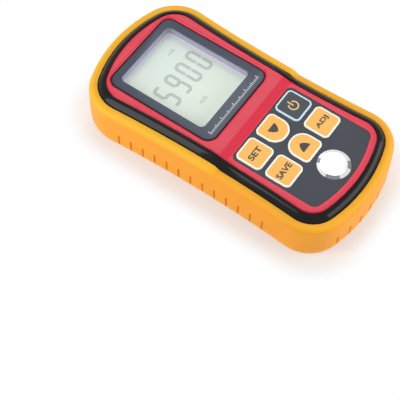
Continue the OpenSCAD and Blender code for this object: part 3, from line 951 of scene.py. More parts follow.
@dataclass(frozen=True)
class Notches:
    """Upright grip notches round the foot of the boot's wall."""

    width: float = 1.2
    pitch: float = 6.93
    side_n: int = 13
    end_n: int = 7
    middle_y: float = 2.55
    top: float = 12.8
    low: float = 4.4
    # How deep a notch's round section is sunk below the wall
    sink: float = 0.2
    steps: int = 8
    rows_n: int = 4

    def places(self, count: int) -> list[float]:
        """Return the places of a row about its middle."""
        return [(i - (count - 1) / 2) * self.pitch for i in range(count)]

    def on_side(self, arc: Arc) -> list[Arc]:
        """Split a long side at its notches."""
        marks = [math.pi - math.asin((self.middle_y + place - arc.center[1]) / arc.radius)
                 for place in self.places(self.side_n)]
        return arc.split(marks, self.width / 2 / arc.radius, self.steps)

    def on_end(self, arc: Arc) -> list[Arc]:
        """Split the keypad end at its notches."""
        marks = [math.asin(place / arc.radius) - QUARTER for place in self.places(self.end_n)]
        return arc.split(marks, self.width / 2 / arc.radius, self.steps)

    def middles(self, rim: Outline) -> list[tuple[Vector, Vector]]:
        """Return the middle of each notch on the rim with the way along the rim."""
        return [(arc.point(0.5), (arc.point(1.0) - arc.point(0.0)).normalized())
                for arc in rim.arcs if arc.steps == self.steps]

    def depth(self, along: float, z: float) -> float:
        """Return how deep a notch bites.

        Args:
            along: Distance from the notch's middle line.
            z: Height on the wall.

        Returns:
            The depth, 0 outside the notch.
        """
        r = self.width / 2
        over = max(0.0, z - (self.top - r))
        inside = r * r - along * along - over * over
        return math.sqrt(inside) + self.sink if inside > WELD and z > self.low else 0.0

    def rows(self, start: float) -> list[float]:
        """Return heights up the wall to just over the notches, close together at their round ends.

        Args:
            start: Height of the wall's foot, which isn't among them.

        Returns:
            The heights.
        """
        r = self.width / 2
        even = fan(start, self.top - r, self.rows_n)
        ends = [self.top - r * (1 - math.sin(a)) for a in fan(0.0, QUARTER, self.rows_n)]
        return [*even[1:], *ends[1:], self.top + r / 4]


def soften(mesh: bpy.types.Mesh, sharp: float = SHARP) -> None:
    """Shade a mesh smoothly, except at edges above an angle in degrees."""
    mesh.shade_smooth()
    mesh.set_sharp_from_angle(angle=math.radians(sharp))


class Form:
    """A mesh in millimetres that operators shape, handed over in metres."""

    def __init__(self, face: Optional[Face] = None) -> None:
        """Start an empty mesh.

        Args:
            face: The face that gives the heights of rings on it.
        """
        self.bm = bmesh.new()
        self.face = face
        self.foot = self.bm.verts.layers.float_vector.new(FOOT)
        self.way = self.bm.verts.layers.float_vector.new(WAY)

    def draw(self, outline: Outline, ring: Ring) -> list[BMEdge]:
        """Draw an outline at a ring.

        Args:
            outline: The outline to draw.
            ring: Its offset and height.

        Returns:
            The edges of the closed loop.
        """
        chain: list[BMVert] = []
        begin = outline.arcs[0].point(0.0)
        for arc in outline.arcs:
            start, count = arc.point(0.0), arc.count()
            if not chain or (chain[-1].co - start).length > JOIN:
                fresh = bmesh.ops.create_vert(self.bm, co=start)["vert"][0]
                if chain:
                    self.bm.edges.new((chain[-1], fresh))
                chain.append(fresh)
            closes = arc is outline.arcs[-1] and (arc.point(1.0) - begin).length < JOIN
            steps = count - 1 if closes else count
            known = set(self.bm.verts)
            bmesh.ops.spin(self.bm, geom=[chain[-1]], cent=(*arc.center, 0.0), axis=(0, 0, 1),
                           angle=arc.sweep * steps / count, steps=steps, use_merge=False)
            self.bm.verts.index_update()
            run = [chain[-1]] + sorted((v for v in self.bm.verts if v not in known), key=lambda v: v.index)
            for vert in run:
                spoke = vert.co - Vector((*arc.center, 0.0))
                vert[self.way] = spoke.normalized() * math.copysign(1.0, arc.sweep)
                vert[self.foot] = vert.co
            chain += run[1:]
        self.bm.edges.new((chain[-1], chain[0]))
        self.place(chain, ring)
        return list(dict.fromkeys(edge for vert in chain for edge in vert.link_edges))

    def place(self, verts: Iterable[BMVert], ring: Ring) -> None:
        """Move the vertices of a loop to a ring.

        Args:
            verts: The vertices.
            ring: The ring.
        """
        for vert in verts:
            spot = vert[self.foot] + ring.out * vert[self.way]
            lift = self.face.height(spot.y) if ring.on_face and self.face else 0.0
            vert.co = (spot.x, spot.y, ring.z + lift)

    def sweep(self, edges: Sequence[BMEdge], rings: Iterable[Ring], paint: int = 0) -> list[BMEdge]:
        """Extrude a loop through further rings.

        Args:
            edges: The loop to start from.
            rings: The rings to pass through.
            paint: Material index of the new faces.

        Returns:
            The edges of the last ring.
        """
        for ring in rings:
            made = bmesh.ops.extrude_edge_only(self.bm, edges=list(edges))["geom"]
            fresh = {item for item in made if isinstance(item, BMVert)}
            self.place(fresh, ring)
            for item in made:
                if isinstance(item, BMFace):
                    item.material_index = paint
            edges = [item for item in made if isinstance(item, BMEdge) and set(item.verts) <= fresh]
        return list(edges)

    def fill(self, *loops: Sequence[BMEdge], drop: Optional[float] = None) -> None:
        """Fill a loop round the loops inside it.

        Args:
            loops: The outer loop and the openings in it.
            drop: Height above the face, where the filled sheet follows it.
        """
        edges = [edge for loop in loops for edge in loop]
        made = bmesh.ops.triangle_fill(
            self.bm, use_beauty=True, use_dissolve=False, edges=edges, normal=(0, 0, 1))
        if drop is None or not self.face:
            return
        faces = [item for item in made["geom"] if isinstance(item, BMFace)]
        for y in fan(self.face.ramp_top, self.face.ramp_top - self.face.ramp_len, self.face.ramp_rows):
            geom = dict.fromkeys(part for item in faces for part in (item, *item.edges, *item.verts))
            cut = bmesh.ops.bisect_plane(
                self.bm, geom=list(geom), dist=WELD, plane_co=(0, y, 0), plane_no=(0, 1, 0))
            faces = [item for item in cut["geom"] if isinstance(item, BMFace)]
        for vert in {vert for item in faces for vert in item.verts}:
            vert.co.z = self.face.height(vert.co.y) + drop

    def lathe(self, profile: Sequence[Pair], place: Matrix, closed: bool = False,
              turn: float = 2 * math.pi, steps: int = 48) -> None:
        """Turn a profile round its axis.

        Args:
            profile: Radius and height of each corner.
            place: Where the axis goes.
            closed: Whether the profile is a closed loop beside the axis.
            turn: Angle of the turn; less than a full turn keeps its end faces.
            steps: Steps of the turn.
        """
        known = set(self.bm.verts)
        verts = [bmesh.ops.create_vert(self.bm, co=(r, 0.0, h))["vert"][0] for r, h in profile]
        ends = verts[1:] + verts[:1] if closed else verts[1:]
        geom = [*verts, *(self.bm.edges.new(pair) for pair in zip(verts, ends))]
        full = math.isclose(abs(turn), 2 * math.pi)
        if not full:
            geom.append(self.bm.faces.new(verts))
        bmesh.ops.spin(self.bm, geom=geom, cent=(0, 0, 0), axis=(0, 0, 1), angle=turn, steps=steps,
                       use_merge=full)
        fresh = [vert for vert in self.bm.verts if vert not in known]
        bmesh.ops.remove_doubles(self.bm, verts=fresh, dist=WELD)
        fresh = [vert for vert in self.bm.verts if vert not in known]
        bmesh.ops.transform(self.bm, matrix=place, verts=fresh)

    def tube(self, spot: Pair, r_in: float, r_out: float, low: float, high: float) -> None:
        """Add an upright tube."""
        profile = [(r_in, low), (r_out, low), (r_out, high), (r_in, high)]
        self.lathe(profile, Matrix.Translation((*spot, 0.0)), closed=True)

    def mesh(self, name: str, sharp: float = SHARP) -> bpy.types.Mesh:
        """Hand the form over as a mesh in metres.

        Args:
            name: Name of the mesh.
            sharp: Angle in degrees above which an edge stays sharp.

        Returns:
            The mesh, with its normals outwards.
        """
        bmesh.ops.remove_doubles(self.bm, verts=self.bm.verts, dist=WELD)
        bmesh.ops.recalc_face_normals(self.bm, faces=self.bm.faces)
        bmesh.ops.scale(self.bm, vec=(MM, MM, MM), verts=self.bm.verts)
        made = bpy.data.meshes.new(name)
        self.bm.to_mesh(made)
        self.bm.free()
        for helper in (FOOT, WAY):
            made.attributes.remove(made.attributes[helper])
        soften(made, sharp)
        return made


def put(name: str, data: bpy.types.ID) -> bpy.types.Object:
    """Link an object to the scene.

    Args:
        name: Name of the object.
        data: Its mesh, lamp, camera or curve.

    Returns:
        The object.
    """
    made = bpy.data.objects.new(name, data)
    bpy.context.scene.collection.objects.link(made)
    return made


def settled(holder: bpy.types.Object) -> bpy.types.Mesh:
    """Return an object's shape, with its modifiers or its letters, as a new mesh."""
    graph = bpy.context.evaluated_depsgraph_get()
    return bpy.data.meshes.new_from_object(holder.evaluated_get(graph))


def add_piece(mesh: bpy.types.Mesh, finishes: Sequence[Finish], nodes: Sequence[str] = (),
              body: str = CASE_BODY) -> bpy.types.Object:
    """Put a mesh into the scene as a piece of the gauge.

    Args:
        mesh: The mesh in metres, in its place.
        finishes: Its finishes, in the order of its material indices.
        nodes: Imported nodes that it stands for.
        body: The body that it moves with.

    Returns:
        The piece's object.
    """
    piece = put(mesh.name, mesh)
    for finish in finishes:
        mesh.materials.append(material_of(finish))
    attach(piece, body)
    if nodes:
        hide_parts(*nodes)
    log.info("%s rides on %s: %d faces", piece.name, body, len(mesh.polygons))
    return piece


def dress(node: str, finish: Finish) -> None:
    """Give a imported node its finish.

    Args:
        node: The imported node.
        finish: Its finish.
    """
    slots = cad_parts[node].data.materials
    slots.clear()
    slots.append(material_of(finish))
    log.info("%s keeps its solid", node)


def smooth_copy(node: str, finish: Finish, body: str = CASE_BODY, sharp: float = 30.0) -> None:
    """Stand a merged, smoothly shaded copy of a node in for it.

    Args:
        node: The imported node.
        finish: Its finish.
        body: The body that it moves with.
        sharp: Angle in degrees above which an edge stays sharp.
    """
    form = bmesh.new()
    form.from_mesh(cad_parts[node].data)
    bmesh.ops.remove_doubles(form, verts=form.verts, dist=WELD * MM)
    made = bpy.data.meshes.new(node + "_skin")
    form.to_mesh(made)
    form.free()
    soften(made, sharp)
    add_piece(made, [finish], [node], body)


def cut_away(piece: bpy.types.Object, tool: Form) -> None:
    """Cut a tool's form out of a piece and keep the result as its mesh.

    Args:
        piece: The piece to cut.
        tool: The form that goes.
    """
    cutter = put("cutter", tool.mesh("cutter"))
    step = piece.modifiers.new("cut", "BOOLEAN")
    step.operation = "DIFFERENCE"
    step.solver = "EXACT"
    step.object = cutter
    made = settled(piece)
    piece.modifiers.remove(step)
    made.name = piece.data.name
    piece.data = made
    soften(made)
    bpy.data.objects.remove(cutter)


def join_on(piece: bpy.types.Object, part: Form) -> None:
    """Add a form to a piece's mesh, as closed shells of its own.

    Args:
        piece: The piece that takes the form.
        part: The form to add.
    """
    extra = part.mesh("part")
    whole = bmesh.new()
    whole.from_mesh(piece.data)
    whole.from_mesh(extra)
    whole.to_mesh(piece.data)
    whole.free()
    bpy.data.meshes.remove(extra)
    soften(piece.data)


@dataclass(frozen=True)
class Sockets:
    """Two probe sockets in the display end."""

    barrel_r: float = 4.0
    barrel_gap: float = 0.1
    spot_r: float = 5.45
    boot_gap: float = 0.25
    # Length of a socket in front of its flange
    nose: float = 3.5
    flange_t: float = 1.2
    # Places along the body where the cuts start, inside the shell, and how far past a mouth they go
    case_from: float = 55.0
    boot_from: float = 60.0
    beyond: float = 10.0

    @property
    def box(self) -> Box:
        """Box of the right socket."""
        return Box.of("probe_socket_right")

    @property
    def bore_r(self) -> float:
        """Radius of the case's bore round a barrel."""
        return self.barrel_r + self.barrel_gap

    @property
    def far(self) -> float:
        """Place well outside the sockets' mouths, where the cuts end."""
        return self.box.high.y + self.beyond

    def place(self, side: int) -> Matrix:
        """Return the place of a socket's axis, pointing out of its mouth."""
        middle = self.box.middle
        return Matrix.Translation((side * middle.x, 0.0, middle.z)) @ Matrix.Rotation(-QUARTER, 4, "X")

    def tool(self, profile: Sequence[Pair]) -> Form:
        """Return a tool that cuts a profile round both axes.

        Args:
            profile: Radius and place along the axis of each corner.

        Returns:
            The tool's form.
        """
        form = Form()
        for side in SIDES:
            form.lathe(profile, self.place(side))
        return form

    def case_tool(self) -> Form:
        """Return the bores and the spot faces, which the flanges lie on, that the case needs."""
        spot_y = self.box.high.y - self.nose - self.flange_t
        return self.tool([(0.0, self.case_from), (self.bore_r, self.case_from), (self.bore_r, spot_y),
                          (self.spot_r, spot_y), (self.spot_r, self.far), (0.0, self.far)])

    def boot_tool(self) -> Form:
        """Return the holes that the boot needs."""
        r = self.spot_r + self.boot_gap
        return self.tool([(0.0, self.boot_from), (r, self.boot_from), (r, self.far), (0.0, self.far)])

    def dress(self) -> None:
        """Give sockets, inserts and nuts their finishes."""
        plated = Metal("socket_plating", ink(206, 208, 210), roughness=0.18)
        for node in ("probe_socket_left", "probe_socket_right"):
            smooth_copy(node, plated)
        smooth_copy("socket_nuts", Metal("nut_plating", ink(190, 192, 196), roughness=0.28))
        insulator = Moulding("socket_insulator", ink(236, 232, 220), ink(226, 220, 206),
                             roughness=0.4, grain=0.3, relief=0.004)
        smooth_copy("socket_inserts", insulator)


@dataclass(frozen=True)
class Boot:
    """Soft boot with a lip over the case, grip notches and a rear window."""

    face: Face
    notches: Notches
    fit: float = 0.1
    wall: float = 3.8
    # Width of the shoulder that the lip leaves bare, and depth of the lip below the face
    rim_w: float = 4.0
    lip_drop: float = 2.8
    lip_r: float = 2.7
    # How far the wall leans in from its foot to the lip
    lean: float = 0.4
    # Rounding of the lip's inner edge: distance past the bare shoulder, and depth below the lip
    hook: tuple[Pair, ...] = ((0.3, 0.0), (0.12, 0.06), (0.05, 0.2))
    back: float = 2.0
    edge_r: float = 6.5
    case_edge_r: float = 3.5
    # How far the rear window's edge lies inside the outline of the face
    window_in: float = 2.5
    foot_steps: int = 18
    lip_steps: int = 15
    inner_steps: int = 6
    sharp: float = 50.0

    @property
    def out(self) -> float:
        """Offset of the boot's wall from the face outline."""
        return self.face.case_u + self.fit + self.wall

    def rings(self) -> list[Ring]:
        """Return the rings of the boot's section.

        Returns:
            The rings from the window up the outer wall, over the lip and down the inside to the window.
        """
        face, drop, case_u = self.face, self.lip_drop, self.face.case_u
        foot = [Ring(self.out - self.edge_r * (1 - math.sin(a)), self.edge_r * (1 - math.cos(a)))
                for a in fan(0.0, QUARTER, self.foot_steps)]
        wall = [Ring(self.out, z) for z in self.notches.rows(self.edge_r)]
        lip = Ring.edge(Ring.face(self.out - self.lean, -drop), self.lip_r, steps=self.lip_steps)
        hook = [Ring.face(self.rim_w + past, -drop - below) for past, below in self.hook]
        grip = math.asin(self.rim_w / case_u)
        inner = [face.shoulder(a, self.fit) for a in fan(grip, QUARTER, self.inner_steps)[1:]]
        r = self.case_edge_r + self.fit
        base = [Ring(case_u - self.case_edge_r + r * math.cos(a),
                     self.back + max(0.0, self.case_edge_r - r * math.sin(a)))
                for a in fan(0.0, QUARTER, self.inner_steps)]
        bevel = self.back / 3
        window = [Ring(-self.window_in, self.back), Ring(-self.window_in, bevel),
                  Ring(bevel - self.window_in, 0.0)]
        return [*foot, *wall, *lip, *hook, *inner, *base, *window]

    def press(self, form: Form, rim: Outline) -> None:
        """Press the grip notches into the outer wall, and mark them for the painted shade of the boot's
        finish.

        Args:
            form: The boot's skin.
            rim: The outline that it was swept round.
        """
        middles = self.notches.middles(rim)
        groove = form.bm.verts.layers.float.new(GROOVE)
        for vert in form.bm.verts:
            foot, way = vert[form.foot], vert[form.way]
            out = (vert.co - foot).xy.dot(way.xy)
            if out < self.out - self.wall / 2 or not self.notches.low < vert.co.z < self.notches.top:
                continue
            for middle, along in middles:
                away = (foot - middle).xy
                if abs(away.x) + abs(away.y) > 2 * self.notches.width:
                    continue
                depth = self.notches.depth(away.dot(along.xy), vert.co.z)
                reach = self.out - depth
                if depth and reach < out:
                    vert.co.xy = (foot + reach * way).xy
                    # Mark the vertex, so that the boot's finish paints shade in the notch
                    vert[groove] = 1.0

    def build(self, sockets: Sockets) -> None:
        """Build the boot as one skin.

        Args:
            sockets: The sockets that look out through it.
        """
        rim = self.face.rim(self.notches)
        rings = self.rings()
        form = Form(self.face)
        form.sweep(form.draw(rim, rings[0]), [*rings[1:], rings[0]])
        self.press(form, rim)
        mesh = form.mesh("boot", self.sharp)
        piece = add_piece(mesh, [SoftBoot("soft_boot")], ["protective_boot"])
        cut_away(piece, sockets.boot_tool())


def screw_spots(node: str) -> list[Pair]:
    """Find the four screws of a node.

    Args:
        node: A node with one screw in each quarter of its box.

    Returns:
        The middle of each screw.
    """
    verts = [vert.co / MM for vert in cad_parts[node].data.vertices]
    middle = Box.of(node).middle
    spots = []
    for right, upper in product((False, True), repeat=2):
        near = [v for v in verts if (v.x > middle.x) == right and (v.y > middle.y) == upper]
        low, high = Vector(map(min, *near)), Vector(map(max, *near))
        spots.append(tuple(((low + high) / 2).xy))
    return spots


@dataclass(frozen=True)
class FrontCase:
    """Front shell with a rounded shoulder, the deck, posts, pillars and the block's cup."""

    face: Face
    wall: float = 2.0
    haunch_h: float = 3.0
    shoulder_end: float = math.radians(6)
    shoulder_steps: int = 24
    # Small rounding where the shoulder turns down beside the plate
    brow: float = 0.12
    brow_drop: float = 0.02
    lead_in: float = 0.3
    view_r: float = 2.0
    post_r: float = 3.2
    post_bore: float = 1.5
    pillar_r: float = 2.2
    pillar_bore: float = 1.15
    boss_r: float = 6.35
    boss_len: float = 3.2
    boss_steps: int = 24
    # How far posts and cup reach into the deck
    bite: float = 0.6
    cup_wall: float = 0.5
    cup_steps: int = 64

    @property
    def seam_z(self) -> float:
        """Height of the seam between the shells."""
        return Box.of("front_case").low.z

    @property
    def deck_low(self) -> float:
        """Distance of the deck's underside below the face."""
        return self.face.plate_t + self.face.deck_t

    def rings(self) -> list[Ring]:
        """Return the rings of the shell's section.

        Returns:
            The rings from the deck's underside round the shoulder to the deck's top.
        """
        face = self.face
        inner = face.case_u - self.wall
        shoulder = [face.shoulder(a) for a in fan(QUARTER, self.shoulder_end, self.shoulder_steps)]
        return [Ring.face(inner - self.wall, -self.deck_low),
                Ring.face(inner, -self.deck_low - self.haunch_h),
                Ring(inner, self.seam_z), Ring(face.case_u, self.seam_z), *shoulder,
                Ring.face(self.brow, -self.brow_drop), Ring.face(0.0, -self.brow),
                Ring.face(0.0, -self.lead_in), Ring.face(0.0, -face.plate_t)]

    def openings(self) -> list[Outline]:
        """Return the deck's openings.

        Returns:
            The outlines: display view, keys and test block.
        """
        box, room = Box.of("display_frame"), 2 * self.face.gap
        view = Outline.round_box(box.middle, box.size.x + room, box.size.y + room, self.view_r, self.view_r)
        return [view, *Keypad.openings(self.face)]

    def build(self, sockets: Sockets) -> None:
        """Build the shell as a skin with its deck, posts and bosses.

        Args:
            sockets: The sockets that pass through it.
        """
        form = Form(self.face)
        rings = self.rings()
        under = form.draw(self.face.rim(), rings[0])
        over = form.sweep(under, rings[1:])
        roofs = [form.draw(outline, Ring.face(0.0, -self.face.plate_t)) for outline in self.openings()]
        floors = [form.sweep(roof, [Ring.face(0.0, -self.deck_low)]) for roof in roofs]
        form.fill(over, *roofs, drop=-self.face.plate_t)
        form.fill(under, *floors, drop=-self.deck_low)
        gloss = Moulding("glossy_case", ink(12, 12, 14), ink(15, 15, 18),
                         roughness=0.12, grain=0.5, relief=0.0004, specular=0.19)
        piece = add_piece(form.mesh("front_shell"), [gloss], ["front_case"])
        cut_away(piece, sockets.case_tool())
        inside = Form()
        self.add_posts(inside)
        self.add_cup(inside)
        join_on(piece, inside)
        self.add_bosses(sockets, gloss)

    def add_posts(self, form: Form) -> None:
        """Add the screw posts and the board pillars.

        Args:
            form: The form that takes them.
        """
        board_z = Box.of("main_board").high.z
        posts = (("case_screws", self.post_bore, self.post_r, self.seam_z),
                 ("board_screws", self.pillar_bore, self.pillar_r, board_z))
        for node, bore, r, low in posts:
            for spot in screw_spots(node):
                form.tube(spot, bore, r, low, self.face.height(spot[1]) - self.deck_low + self.bite)

    def add_cup(self, form: Form) -> None:
        """Add the cup that the test block lies in.

        Args:
            form: The form that takes it.
        """
        block = Box.of("test_block")
        r = block.size.x / 2 + self.face.gap
        wall_r = r + self.cup_wall
        floor, under = block.low.z, block.low.z - self.wall
        top = self.face.low_z - self.deck_low + self.bite
        profile = [(0.0, floor), (r, floor), (r, top), (wall_r, top), (wall_r, under), (0.0, under)]
        form.lathe(profile, block.axis, steps=self.cup_steps)

    def add_bosses(self, sockets: Sockets, finish: Finish) -> None:
        """Add the upper halves of the socket bosses.

        Args:
            sockets: The sockets that they hold.
            finish: The shell's finish.
        """
        form = Form()
        back = Box.of("socket_nuts").high.y
        front = back + self.boss_len
        profile = [(sockets.bore_r, back), (self.boss_r, back), (self.boss_r, front), (sockets.bore_r, front)]
        for side in SIDES:
            form.lathe(profile, sockets.place(side), closed=True, turn=-math.pi, steps=self.boss_steps)
        add_piece(form.mesh("socket_bosses"), [finish])


@dataclass(frozen=True)
class FacePlate:
    """Red stepped plate with the lens opening and the overlay's pocket."""

    face: Face
    edge_r: float = 0.8
    lens_edge_r: float = 1.2
    pocket_edge_r: float = 0.12
    edge_steps: int = 6
    rim_gap: float = 0.2
    lens_gap: float = 0.3

    def wall(self, form: Form, outline: Outline, base: Ring, r: float, inward: int) -> list[list[BMEdge]]:
        """Add a wall with a rounded upper edge.

        Args:
            form: The plate's form.
            outline: The outline that the wall follows.
            base: Its offset and its foot.
            r: Radius of its upper edge.
            inward: -1 where the plate lies inside the outline, 1 where it lies outside.

        Returns:
            The loops at its foot and at the face.
        """
        foot = form.draw(outline, base)
        rings = Ring.edge(Ring.face(base.out, 0.0), r, inward, self.edge_steps)
        return [foot, form.sweep(foot, rings)]

    def build(self) -> None:
        """Build the plate as skins joined by filled sheets."""
        face, under = self.face, -self.face.plate_t
        form = Form(face)
        floor = Box.of("keypad_overlay").low.z - face.low_z
        base, top = self.wall(form, face.rim(), Ring.face(-self.rim_gap, under), self.edge_r, -1)
        lens_base, lens_top = self.wall(
            form, Display.lens_outline(), Ring.face(self.lens_gap, under), self.lens_edge_r, 1)
        pocket, pocket_top = self.wall(
            form, Keypad.overlay_outline(), Ring.face(face.gap, floor), self.pocket_edge_r, 1)
        uppers = [form.draw(outline, Ring.face(0.0, floor)) for outline in Keypad.openings(face)]
        lowers = [form.sweep(loop, [Ring.face(0.0, under)]) for loop in uppers]
        form.fill(top, lens_top, pocket_top, drop=0.0)
        form.fill(pocket, *uppers)
        form.fill(base, lens_base, *lowers, drop=under)
        satin = Moulding("red_plate", ink(222, 34, 66), ink(214, 28, 58),
                         roughness=0.34, grain=0.3, relief=0.004, specular=0.45)
        add_piece(form.mesh("face_sheet"), [satin], ["face_plate"])


@dataclass(frozen=True)
class Bar:
    """Thin printed bar with clipped corners."""

    spot: Vector
    length: float
    width: float
    thick: float
    upright: bool = True
    clip: float = 0.42
    clip_steps: int = 2

    def add(self, form: Form) -> None:
        """Add the bar to a form.

        Args:
            form: The form that takes the bar.
        """
        size = (self.width, self.length) if self.upright else (self.length, self.width)
        place = Matrix.Translation(self.spot + Vector((0.0, 0.0, self.thick / 2)))
        scale = Matrix.Diagonal((*size, self.thick, 1.0))
        made = bmesh.ops.create_cube(form.bm, size=1.0, matrix=place @ scale)
        edges = dict.fromkeys(edge for vert in made["verts"] for edge in vert.link_edges)
        walls = [edge for edge in edges
                 if abs(edge.verts[0].co.z - edge.verts[1].co.z) > self.thick / 2]
        bmesh.ops.bevel(form.bm, geom=walls, offset=self.clip * min(size), offset_type="OFFSET",
                        segments=self.clip_steps, profile=0.5, affect="EDGES", material=-1)


@dataclass(frozen=True)
class Lettering:
    """Plain raised word, sized by its height and its length."""

    words: str
    height: float
    length: float
    bold: float
    thick: float = 0.004

    def mesh(self) -> bpy.types.Mesh:
        """Return the word about its middle.

        Returns:
            The mesh in millimetres.
        """
        curve = bpy.data.curves.new("lettering", "FONT")
        curve.body = self.words
        curve.offset = self.bold
        curve.extrude = self.thick
        holder = put("lettering", curve)
        made = settled(holder)
        bpy.data.objects.remove(holder)
        bpy.data.curves.remove(curve)
        low = Vector(map(min, *(v.co for v in made.vertices)))
        high = Vector(map(max, *(v.co for v in made.vertices)))
        wide, tall = self.length / (high.x - low.x), self.height / (high.y - low.y)
        made.transform(Matrix.Diagonal((wide, tall, tall, 1.0)) @ Matrix.Translation(-(low + high) / 2))
        return made


@dataclass(frozen=True)
class Display:
    """Lens, frame, display glass and the reading on it."""

    lens_r: float = 5.0
    lens_edge: float = 0.2
    view: RoundPlan = RoundPlan((0.0, 31.5), (19.5, 24.2), 2.6)
    bare_w: float = 0.7
    print_t: float = 0.03
    reading: str = "5900"
    digit_h: float = 15.0
    digit_w: float = 5.9
    digit_pitch: float = 8.7
    digit_x: float = -13.8
    digit_y: float = 26.9
    bar_w: float = 1.7
    bar_gap: float = 0.35
    unit: Lettering = Lettering("m/s", height=2.6, length=4.6, bold=0.02)
    unit_spot: Pair = (-3.2, 18.6)
    level_spot: Pair = (8.8, 47.5)
    level_pitch: float = 1.5
    level_w: float = 0.9
    level_lengths: tuple[float, ...] = (1.2, 1.7, 2.2)
    tick_foot: float = 2.1
    tick_span: float = 39.0
    tick_w: float = 0.32
    tick_lengths: tuple[float, ...] = (2.2, 1.1, 1.1, 1.1, 1.1, 1.7, 1.1, 1.1, 1.1, 1.1)
    ticks: int = 40

    @classmethod
    def lens_outline(cls) -> Outline:
        """Return the outline of the lens."""
        box = Box.of("display_lens")
        return Outline.round_box(box.middle, box.size.x, box.size.y, cls.lens_r, cls.lens_r)

    def build(self) -> None:
        """Build the lens and the reading, and dress what lies under them."""
        self.build_lens()
        self.build_reading()
        self.build_ticks()
        dress("display_frame", Moulding("display_frame_grey", ink(176, 172, 194), ink(168, 164, 188),
                                        roughness=0.5, grain=0.3, relief=0.004))
        field = replace(self.view, half=tuple(half - self.bare_w for half in self.view.half))
        dress("display_glass", DisplayField("display_field", field))
        diffuser = Moulding("diffuser", ink(238, 242, 234), ink(228, 234, 224), roughness=0.4)
        dress("backlight_panel", diffuser)
        rubber = Moulding("strip_rubber", ink(214, 140, 156), ink(200, 124, 142), roughness=0.6)
        dress("contact_strips", rubber)

    def build_lens(self) -> None:
        """Build the lens with a softened edge."""
        box = Box.of("display_lens")
        form = Form()
        base = form.draw(self.lens_outline(), Ring(0.0, box.low.z))
        form.fill(base)
        form.fill(form.sweep(base, Ring.edge(Ring(0.0, box.high.z), self.lens_edge)))
        rim = RoundPlan(tuple(box.middle.xy), tuple(box.size.xy / 2), self.lens_r)
        finish = LensPrintAndGapShade("printed_lens", self.view, rim, box.middle.z)
        add_piece(form.mesh("lens_window"), [finish], ["display_lens"])

    def bars(self, digit: str, corner: Vector) -> list[Bar]:
        """Return the lit bars of a digit.

        Args:
            digit: The digit to show.
            corner: Its lower left corner.

        Returns:
            The bars, those across before the upright ones.
        """
        w, h = self.digit_w - self.bar_w, self.digit_h - self.bar_w
        across = {"top": (w / 2, h), "middle": (w / 2, h / 2), "bottom": (w / 2, 0.0)}
        upright = {"left_top": (0.0, 0.75 * h), "right_top": (w, 0.75 * h),
                   "left_low": (0.0, 0.25 * h), "right_low": (w, 0.25 * h)}
        dark = {"5": ("right_top", "left_low"), "9": ("left_low",), "0": ("middle",)}[digit]
        return [Bar(corner + Vector((*spot, 0.0)), length - self.bar_gap, self.bar_w, self.print_t, stands)
                for spots, length, stands in ((across, w, False), (upright, h / 2, True))
                for name, spot in spots.items() if name not in dark]

    def build_reading(self) -> None:
        """Build the reading, its unit and a level mark as thin prints on the display glass."""
        form = Form()
        z = Box.of("display_glass").high.z
        for i, digit in enumerate(self.reading):
            for bar in self.bars(digit, Vector((self.digit_x + i * self.digit_pitch, self.digit_y, z))):
                bar.add(form)
        unit = self.unit.mesh()
        unit.transform(Matrix.Translation((*self.unit_spot, z)))
        form.bm.from_mesh(unit)
        for i, length in enumerate(self.level_lengths):
            spot = Vector((self.level_spot[0] + i * self.level_pitch, self.level_spot[1], z))
            Bar(spot, length, self.level_w, self.print_t).add(form)
        shadow = Ink("display_bars", ink(188, 198, 190), roughness=0.55)
        add_piece(form.mesh("reading"), [shadow])

    def build_ticks(self) -> None:
        """Build a plain tick scale along the lens's lower border."""
        form = Form()
        z = Box.of("display_lens").high.z
        for i, x in enumerate(fan(-self.tick_span / 2, self.tick_span / 2, self.ticks)):
            length = self.tick_lengths[i % len(self.tick_lengths)]
            Bar(Vector((x, self.tick_foot + length / 2, z)), length, self.tick_w, self.print_t / 2).add(form)
        add_piece(form.mesh("lens_scale"), [Ink("white_print", ink(232, 236, 240))])


class Mark(Enum):
    """Mark printed on a key."""

    SPEED = "SET"
    SAVE = "SAVE"
    ADJUST = "ADJ"
    DOWN = "down"
    UP = "up"
    POWER = "power"


@dataclass(frozen=True)
class KeyLook:
    """Finishes of one kind of key, with their material slots."""

    cap: Moulding
    border: Moulding
    cap_slot: str
    mark: Ink
    mark_slot: str


ORANGE_KEY = KeyLook(
    cap=Moulding("orange_key", ink(253, 194, 96), ink(252, 187, 86), roughness=0.42, grain=0.2, relief=0.003),
    border=Moulding("white_border", ink(255, 255, 250), ink(253, 251, 244),
                    roughness=0.4, grain=0.2, relief=0.002),
    cap_slot="key_orange",
    mark=Ink("dark_print", ink(50, 44, 40)),
    mark_slot="overlay_dark")
DARK_KEY = KeyLook(
    cap=Moulding("dark_key", ink(56, 61, 70), ink(52, 57, 66), roughness=0.45, grain=0.15, relief=0.003),
    border=Moulding("pale_border", ink(214, 240, 246), ink(204, 234, 242),
                    roughness=0.4, grain=0.2, relief=0.002),
    cap_slot="key_dark",
    mark=Ink("cream_print", ink(228, 192, 122)),
    mark_slot="insulator_white")


@dataclass(frozen=True)
class Key:
    """One key of the keypad."""

    name: str
    mark: Mark
    look: KeyLook = ORANGE_KEY
    r_top: float = 2.5
    r_low: float = 2.5

    @property
    def node(self) -> str:
        """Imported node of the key."""
        return "key_" + self.name

    @property
    def body(self) -> str:
        """Body that the key moves with."""
        return self.name + "_key"


